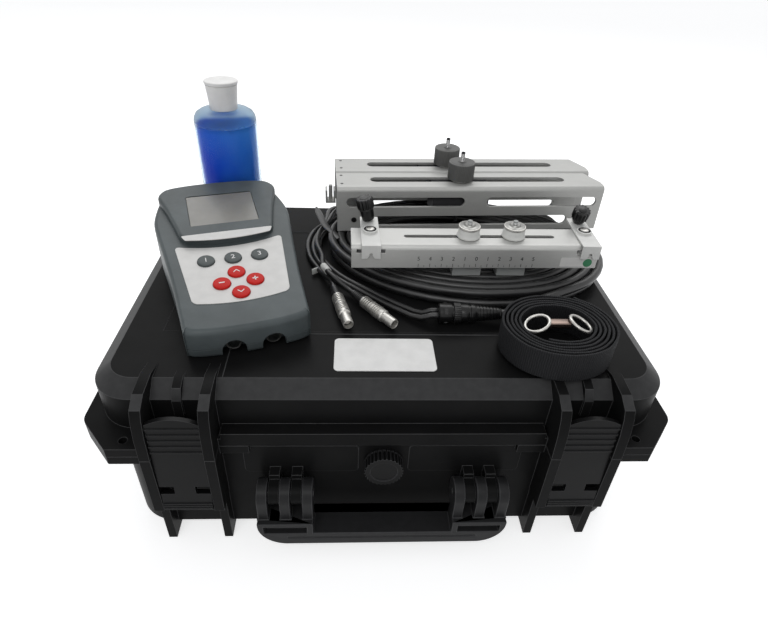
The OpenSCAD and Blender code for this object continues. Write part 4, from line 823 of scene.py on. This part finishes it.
def endScrew(i, side):
    at = onSmall() @ move(small["ends"][i], small["endY"], small["high"] + clear) @ turn(small["swing"][i], "Z")
    a, b = small["tilt"][i]
    lift = thumb["plate"] + thumb["tab"] * abs(sin(radians(a + b))) + clear
    up = at @ move(0, thumb["arm"], 0) @ turn(b, "Y") @ turn(a, "X") @ move(0, 0, lift)
    neck, body = small["neck"][i], side + "_thumb"
    line = [(0, -lift - 3.6), (2, -lift - 3.6), (2, 0), (5.4, 0), (5.6, 0.3), (6.4, neck - 1.2), (6.6, neck - 0.6),
            (6.2, neck + 0.1), (0, neck + 0.1)]
    turned(side + "ScrewNeck", line, up, body, "screw_black")
    top = neck + thumb["high"]
    fluted(side + "ScrewHead", thumb["ribs"], neck, top, thumb["soft"], up, body, "screw_black",
           ["thumb_screw_" + side], fine=4)
    line = [(0, top - 0.4), (0, top + 0.5), (3.6, top + 0.5), (4.2, top + 0.2), (4.3, top - 0.4)]
    turned(side + "ScrewTop", line, up, body, "screw_black")
    pivot = at @ move(0, 0, thumb["plate"])
    turned(side + "Bush", thumb["bush"], pivot, side + "_plate", "collar_white")
    turned(side + "PivotFace", thumb["pivot"], pivot, "lid", "nickel")


marks = {"middle": 110.6, "step": 10.3, "figureZ": 9.2, "size": 5.4, "tick": (1.0, 4.3, 0.22),
         "half": (1.0, 2.9, 0.16), "label": (187.4, 217.1, 1.7, 10.9), "dot": (212.6, 5.6, 4.1)}


def onFront(x, z, out=0.0):
    return onSmall() @ move(x, -out, z) @ turn(90, "X")


def taken(bm, mesh):
    bm.from_mesh(mesh)
    bpy.data.meshes.remove(mesh)


def railMarks():
    # scale on the small rail's front, with its bare label and green dot
    bm = bmesh.new()
    for k in range(-5, 6):
        x = marks["middle"] + marks["step"] * k
        taken(bm, figures(str(abs(k)), marks["size"], onFront(x, marks["figureZ"], 0.06)))
    for k, kind in [(k, "tick") for k in range(-5, 6)] + [(k + 0.5, "half") for k in range(-5, 5)]:
        low, high, half = marks[kind]
        at = onFront(marks["middle"] + marks["step"] * k, 0)
        taken(bm, meshOf(prism(oblong(-half, half, low, high), 0.01, 0.1, at), "tick"))
    show("scaleMarks", meshOf(bm, "scaleMarks"), "lid", "rail_light", (), inkFinish)
    plate("bareLabel", oblong(*marks["label"]), 0.0, 0.14, 0.9, onFront(0, 0), "lid", "white_plate", soft=0.04,
          material=finishes["keypad_white"])
    x, z, r = marks["dot"]
    turned("labelDot", [(0, 0), (r, 0), (r, 0.18), (0, 0.18)], onFront(x, z, 0.02), "lid", "white_plate",
           steps=48, material=greenDot)


fixings = {"rivets": ((5, 10), (5, 31), (6, 51.5), (6, 72)), "screw": (16.7, 0, 12.6),
           "rivet": [(0, 0), (1.5, 0), (1.4, 0.25), (0.8, 0.42), (0, 0.45)],
           "head": [(0, 0.5), (1.1, 0.5), (1.3, 1.1), (2.4, 1.1), (2.7, 0.8), (2.7, 0), (0, 0)]}


def railFixings():
    # rivets in the rails' left ends and a screw in the front rail's face
    for k, (x, y) in enumerate(fixings["rivets"]):
        turned(f"railRivet{k + 1}", fixings["rivet"], onRail(0) @ move(x, y, rail["high"]), "lid", "pin_steel",
               steps=24, material=finishes["knob_grey"])
    at = onRail(0) @ move(*fixings["screw"]) @ turn(90, "X")
    turned("railScrew", fixings["head"], at, "lid", "screw_black", steps=32)


for i, name in enumerate(("front", "rear")):
    railKnob(i, name)
for i, side in enumerate(("left", "right")):
    sensorTop(i, side)
    endScrew(i, side)
railMarks()
railFixings()
print("rail hardware is made")


# Plugs, connector and the white marks on the leads
def ridges(count, z, step, outer, grow, deep, ends):
    # profile of rings along a sleeve; ends are where each ring stops and its groove starts and stops
    line = []
    for k in range(count):
        low, r = z + step * k, outer + grow * k
        line += [(r, low), (r, low + ends[0]), (r - deep, low + ends[1]), (r - deep, low + ends[2])]
    return line


def leadPlug(side):
    (x, y), angle = plugs[side]
    at = move(x, y, leads["plugZ"]) @ turn(angle, "Z") @ turn(90, "Y")
    tail = [(0, 0), (5.0, 0), (5.4, 0.5)]
    for z in (2.2, 4.6, 7.0, 9.4):
        tail += [(5.4, z), (4.4, z + 0.2), (4.4, z + 1.05), (5.4, z + 1.25)]
    tail += [(5.4, 12.2), (4.6, 12.6), (4.6, 13.6), (5.5, 14.0), *ridges(4, 15, 2.2, 5.6, 0, 0.7, (1.1, 1.3, 2.0)),
             (5.6, 24.6), (5.6, 27.6), (5.1, 28.4), (4.6, 28.7), (4.6, 40.6), (4.35, 41.8), (3.8, 42.0),
             (3.6, 41.6), (3.6, 33.6), (2.4, 33.6), (2.4, 37.4), (0, 37.4)]
    boot = [(0, -16), (3.1, -16), (3.4, -15.6), *ridges(6, -14.6, 2.1, 3.45, 0.17, 0.45, (1.2, 1.4, 1.9)),
            (4.6, -2), (4.7, -0.2), (4.4, 0), (0, 0)]
    return [turned(side + "PlugShell", tail, at, "lid", "nickel", ["plug_" + side]),
            turned(side + "PlugBoot", boot, at, "lid", "cable_black")]


def facing(start, ahead):
    return Matrix.Translation(start * mm) @ ahead.to_track_quat("Z", "Y").to_matrix().to_4x4()


def inlineConnector():
    at = move(*inline["at"]) @ turn(90, "Y")
    front = [(0, 0), (7.4, 0), (8.5, 0.9), (8.5, 10.9), (8.1, 11.6), (7.0, 12.0), (7.0, 13.0), (0, 13.0)]
    head = turned("connectorRing", front, at, "lid", "screw_black", ["inline_connector"])
    collar = fluted("connectorCollar", (9.0, 0.45, 30), 13.0, 19.0, 0.5, at, "lid", "screw_black")
    tail = [(0, 19.0), (8.0, 19.0), (8.2, 19.6), (8.2, 25.0), (7.8, 25.8), (7.3, 26.0), (7.3, 27.0), (7.9, 27.5),
            (7.9, 30.5), (7.5, 31.3), *ridges(7, 32.4, 2.9, 7.0, -0.3, 0.75, (1.7, 2.0, 2.6)),
            (5.0, 53.2), (4.6, 54), (0, 54)]
    gland = turned("connectorGland", tail, at, "lid", "screw_black")
    slots = []
    for k in range(4):
        around = at @ turn(45 + 90 * k, "Z") @ move(8.55, 0, 6) @ turn(90, "Y")
        window = meshOf(prism(oblong(-1.3, 1.3, -2.6, 2.6), -0.35, 0.1, around), "window")
        slots.append(show(f"connectorWindow{k + 1}", window, "lid", "screw_black"))
    return [head, collar, gland, *slots]


def cableEnd():
    # blind cap on the coil's inner end
    line = [(0, 0), (4.3, 0), (4.6, 0.6), (4.6, 4.0), (4.2, 4.3), (4.2, 5.0), (4.6, 5.3), (4.6, 10.6), (4.0, 11.7),
            (3.0, 12.0), (0, 12.0)]
    at = facing(coilPath[0], (coilPath[0] - coilPath[1]).normalized())
    return turned("cableEndCap", line, at, "lid", "screw_black")


def leadMarks():
    high = leads["high"]
    start, end = Vector((-53.2, -2, high + 2.1)), Vector((-47, -17, high + 3.5))
    profile = [(2.55, 0), (3.2, 0), *ridges(6, 0.5, 2.1, 3.4, 0, 0.35, (1.3, 1.5, 1.9)), (3.2, 13.0), (2.55, 13.0)]
    ribbed = turned("leadMark", profile, facing(start, end - start), "lid", "collar_white", ["marker_sleeves"])
    flag = prism(oblong(0, 1, 0, 6.5), 0, 6, move(-64.5, -1, rest) @ turn(-52, "Z"), 0.3)
    return ribbed, show("leadFlag", meshOf(flag, "leadFlag"), "lid", "collar_white")


band = {"route": ((-38.8, 43.4, 171.5), (-46, 56, 171.8), (-53.5, 70, 171.6), (-60, 92, 171.4), (-66, 114, 172)),
        "half": 3.6, "thick": 1.1, "tipAt": 0.86, "tipCut": 2.6}


def coilTie():
    # band with a pointed tip, laid over the bend of the leads
    line = curved([Vector(p) for p in band["route"]], 6)
    rings = []
    for k, here in enumerate(line):
        share = k / (len(line) - 1)
        ahead = (line[min(k + 1, len(line) - 1)] - line[max(k - 1, 0)]).normalized()
        aside = ahead.cross(Vector((0, 0, 1))).normalized()
        wide = band["half"]
        if share >= band["tipAt"]:
            wide -= band["tipCut"] * (share - band["tipAt"]) / (1 - band["tipAt"])
        rings.append([tuple(here + aside * wide * cos(a) + Vector((0, 0, band["thick"] * sin(a))))
                      for a in (pi * n / 8 for n in range(16))])
    return show("coilTie", meshOf(lofted(rings), "coilTie", 60), "lid", "webbing", (), finishes["cable_black"])


leftPlug, rightPlug = leadPlug("left"), leadPlug("right")
connector, endCap = inlineConnector(), cableEnd()
ribbedMark, flagMark = leadMarks()
tie = coilTie()
print("plugs and connector are made")


# Strap: webbing rolled on edge round an oval, with wire rings in its eye
strap = {"x": 136, "y": -114, "a": 47, "b": 42.5, "z": 160.3, "wide": 25, "thick": 2.4, "pitch": 3.3,
         "turns": 5.5, "start": 60, "steps": 72, "rows": 10, "ring": 9.5, "wire": 1.3, "tilt": 24}


def strapLine():
    # points along the roll, each with the drop of the upper edge there
    centre = []
    for k in range(round(strap["turns"] * strap["steps"]) + 1):
        share = k / strap["steps"]
        a = radians(strap["start"] - 360 * share)
        ripple = 0.12 * sin(9 * a + share * 2.3) + 0.08 * sin(17 * a + 1.1 * share)
        s = share * strap["pitch"] + strap["thick"] / 2 + ripple
        wave = 0.35 * sin(2 * a + 1.7 * share) + 0.25 * sin(5 * a)
        centre.append((strap["x"] + (strap["a"] - s) * cos(a), strap["y"] + (strap["b"] - s) * sin(a),
                       0.62 + wave * 0.8))
    return centre


def rolledStrap():
    bm = bmesh.new()
    far, over = bm.verts.layers.float.new("along"), bm.verts.layers.float.new("across")
    centre, wide, rows = strapLine(), strap["wide"], strap["rows"]
    column = []
    for k in range(rows + 1):
        vert = bm.verts.new(point(*centre[0][:2], strap["z"] + wide * k / rows))
        vert[over] = wide * k / rows * mm
        column.append(vert)
    line, length = [bm.edges.new(pair) for pair in zip(column, column[1:])], 0.0
    for before, (x, y, drop) in zip(centre, centre[1:]):
        made = bmesh.ops.extrude_edge_only(bm, edges=line)
        fresh = [g for g in made["geom"] if isinstance(g, bmesh.types.BMVert)]
        line = [g for g in made["geom"] if isinstance(g, bmesh.types.BMEdge) and all(v in fresh for v in g.verts)]
        length += (Vector((x, y)) - Vector(before[:2])).length
        for vert in fresh:
            share = vert[over] / (wide * mm)
            vert.co = point(x, y, strap["z"] + wide * share - (drop if share > 0.5 else 0) * share)
            vert[far] = length * mm
    mesh = bpy.data.meshes.new("strapWebbing")
    bm.to_mesh(mesh)
    bm.free()
    for face in mesh.polygons:
        face.use_smooth = True
    made = show("strapWebbing", mesh, "lid", "webbing", ["strap_roll"])
    thick = made.modifiers.new("thickness", "SOLIDIFY")
    thick.thickness, thick.offset = (strap["thick"] - 0.5) * mm, 0
    soft = made.modifiers.new("edges", "BEVEL")
    soft.width, soft.segments, soft.limit_method, soft.angle_limit = 0.35 * mm, 2, "ANGLE", radians(50)
    return made, length


def strapRings():
    early, leaning = strap["start"] / 360, cos(radians(strap["tilt"]))
    eye = strap["a"] - strap["pitch"] * (int(strap["turns"] - early) + early) - strap["thick"] - clear
    ringX = eye - (strap["ring"] + strap["wire"]) * leaning
    top = move(strap["x"], strap["y"], strap["z"] + strap["wide"] - strap["wire"])
    made = []
    for s, name, replaced in ((-1, "ringLeft", ["strap_rings"]), (1, "ringRight", ())):
        bm = bmesh.new()
        circle = bmesh.ops.create_circle(bm, segments=20, radius=strap["wire"] * mm)
        bmesh.ops.transform(bm, matrix=move(strap["ring"], 0, 0) @ turn(90, "X"), verts=circle["verts"])
        spun(bm, 64, top @ move(s * ringX, 0, 0) @ turn(s * strap["tilt"], "Y"))
        made.append(show(name, meshOf(bm, name, 60), "lid", "nickel", replaced))
    wide = ringX - strap["ring"] * leaning
    link = prism(oblong(-wide, wide, -3.5, 3.5), -2.5, 2.5, top, 0.9, 3)
    made.append(show("ringLink", meshOf(link, "ringLink"), "lid", "pin_steel", (), copperFinish))
    return made


strapBand, strapLength = rolledStrap()
rings = strapRings()
print("strap is made:", round(strapLength))


# Gel bottle with its filling and flip-top cap
bottle = {"at": (-154.034, 114.985), "radius": 30.5, "wall": 1.4, "high": 119, "gel": 107, "gap": 0.12}


def gelBottle():
    at = move(*bottle["at"], rest)
    r, h, w = bottle["radius"], bottle["high"], bottle["wall"]
    outside = [(0, 1.2), (20, 0.9), (25, 0), (27.5, 0), (r - 0.9, 1.4), (r, 4), (r, h - 10), (r - 0.7, h - 6.6),
               (r - 2.6, h - 3.2), (r - 6, h - 1), (r - 10, h - 0.2), (12.5, h), (11.0, h + 0.3), (10, h + 1.4),
               (10, h + 8.8)]
    inside = [(8.6, h + 8.8), (8.6, h + 0.2), (10.2, h - 1.4), (r - 10, h - w - 0.1), (r - 6.4, h - 1 - w),
              (r - 3.6, h - 4), (r - w - 0.7, h - 7), (r - w, h - 10), (r - w, 4.4), (r - w - 1, 2.4),
              (r - 4.4, w), (20, 2.2), (0, 2.5)]
    turned("bottleShell", outside + inside, at, "lid", "bottle_clear", ["gel_bottle"], steps=96, sharp=60)
    gap, top = bottle["gap"], bottle["gel"]
    g = r - w - gap
    fill = [(0, 2.5 + gap), (20, 2.2 + gap), (g - 3, w + gap), (g - 1, 2.4 + gap), (g, 4.4 + gap),
            (g, top - 0.6), (g - 0.9, top - 1.0), (g - 3, top - 1.6), (0, top - 1.8)]
    turned("gelFill", fill, at, "lid", "gel_blue", ["gel"], steps=96, sharp=60)
    skirt = [(10.1, 0.1), (12.6, 0), (13.2, 0.5), (15.3, 22.2), (15.5, 23), (15.2, 23.2), (14.6, 23.3),
             (14.6, 23.9), (15.7, 24), (16, 24.3), (16.3, 26.2), (15.9, 26.8), (14.8, 27), (0, 27), (0, 10.1),
             (10.1, 10.1)]
    turned("capShell", skirt, at @ move(0, 0, h + clear), "cap", "cap_white", ["bottle_cap"], steps=96)


gelBottle()
print("bottle is made")

# Case, rails and small parts: the CAD solids with their edges eased by these widths
edgeWidths = {"case_base": 0.3, "case_lid": 0.3, "latch_left": 0.15, "latch_right": 0.15, "handle": 0.8,
              "valve_knob": 0.3, "name_plate": 0.4, "front_rail": 0.35, "rear_rail": 0.35, "scale_rail": 0.3,
              "end_plate_left": 0.25, "end_plate_right": 0.25, "lead_sockets": 0.2, "display_window": 0.2}
ownFinish = {"lead_sockets": greyMetal, "end_plate_left": paleMetal, "end_plate_right": paleMetal}
# Share of painted sheen, in the pale edge colour, on the faces whose slope lies between two values
paintedSheen = {"case_lid": (0.7, 0.5, 0.95), "handle": (0.4, -0.5, 1.1)}


def eased(node, width):
    # stands for a CAD node: the same solid with its edges rounded, paler on those edges as wear and painted
    # highlight, and with a painted sheen on some of its sloped faces
    bm = bmesh.new()
    bm.from_mesh(nodes[node].data)
    bmesh.ops.remove_doubles(bm, verts=bm.verts, dist=0.004 * mm)
    bmesh.ops.dissolve_limit(bm, angle_limit=radians(0.6), verts=bm.verts, edges=bm.edges)
    rounded(bm, width, 2, [e for e in bm.edges if e.is_manifold and e.calc_face_angle(0) > radians(32)])
    # painted sheen: the sloped faces of these nodes take the pale edge colour, as if they caught the light
    if node in paintedSheen:
        share, low, high = paintedSheen[node]
        layer = bm.faces.layers.float["edge"]
        bm.normal_update()
        for face in bm.faces:
            if low < face.normal.z < high:
                face[layer] = max(face[layer], share)
    first, *others = node.split("_")
    name = first + "".join(word.capitalize() for word in others)
    weighted(show(name, meshOf(bm, name), bodyOf[node], slotOf[node], [node], ownFinish.get(node)))


for node, width in edgeWidths.items():
    eased(node, width)
print("case and rails are eased")


# Floor, backdrop and lights
stage = {"size": 6, "blotch": 400, "pale": ((0.8, 0.8, 0.8), (0.82, 0.82, 0.82)), "glow": 0.62,
         "sky": (0.95, 0.97, 1, 1), "skyStrength": 0.42,
         "lamps": {"mainLamp": ((0.12, 1.1, 1.5), (0, 0, 0.12), (2.0, 0.9), 14),
                   "frontLamp": ((-0.3, -1.35, 1.6), (0, 0, 0.1), (1.3, 0.8), 9)}}


def seenRays():
    # 1 where the background is looked at, straight, mirrored or through glass
    camera, glossy, through = (Wire.node("LightPath", out=name) for name in
                               ("Is Camera Ray", "Is Glossy Ray", "Is Transmission Ray"))
    return camera.maths("MAXIMUM", glossy).maths("MAXIMUM", through)


def paleFloor():
    bm = bmesh.new()
    bmesh.ops.create_grid(bm, x_segments=2, y_segments=2, size=stage["size"])
    floor = linked("floor", meshOf(bm, "floor"))
    floor.data.materials.append(emptyTree(bpy.data.materials.new("pale_floor")))
    surface = {"Base Color": blend(noise(stage["blotch"], 2), *stage["pale"]), "Roughness": 0.9,
               "Specular IOR Level": 0.1}
    glowing = {**surface, "Emission Color": (1, 1, 1, 1), "Emission Strength": stage["glow"]}
    plain, white = Wire.node("BsdfPrincipled", surface), Wire.node("BsdfPrincipled", glowing)
    Wire.node("OutputMaterial", {"Surface": Wire.node("MixShader", {0: seenRays(), 1: plain, 2: white})})


def softLamp(name, at, target, size, power):
    lamp = bpy.data.lights.new(name, "AREA")
    lamp.shape, lamp.energy, (lamp.size, lamp.size_y) = "RECTANGLE", power, size
    made = linked(name, lamp)
    made.location = at
    made.rotation_euler = (Vector(target) - Vector(at)).to_track_quat("-Z", "Y").to_euler()


def lightStage():
    bpy.context.scene.world = emptyTree(bpy.data.worlds.new("studio"))
    dim = Wire.node("Background", {"Color": stage["sky"], "Strength": stage["skyStrength"]})
    white = Wire.node("Background", {"Color": (1, 1, 1, 1), "Strength": 1.0})
    mixed = Wire.node("MixShader", {0: seenRays(), 1: dim, 2: white})
    Wire.node("OutputWorld", {"Surface": mixed})
    for name, facts in stage["lamps"].items():
        softLamp(name, *facts)


paleFloor()
lightStage()
bpy.context.scene.view_settings.view_transform = "Standard"

# Materials for the CAD nodes that stay as they are
for name, held in nodes.items():
    if not len(held.material_slots):
        held.data.materials.append(finishes[slotOf[name]])
    for slot in held.material_slots:
        slot.material = finishes[slotOf[name]]

tuple(coilPath[0] * mm)
2 * cable["radius"] * mm
strapLength * mm
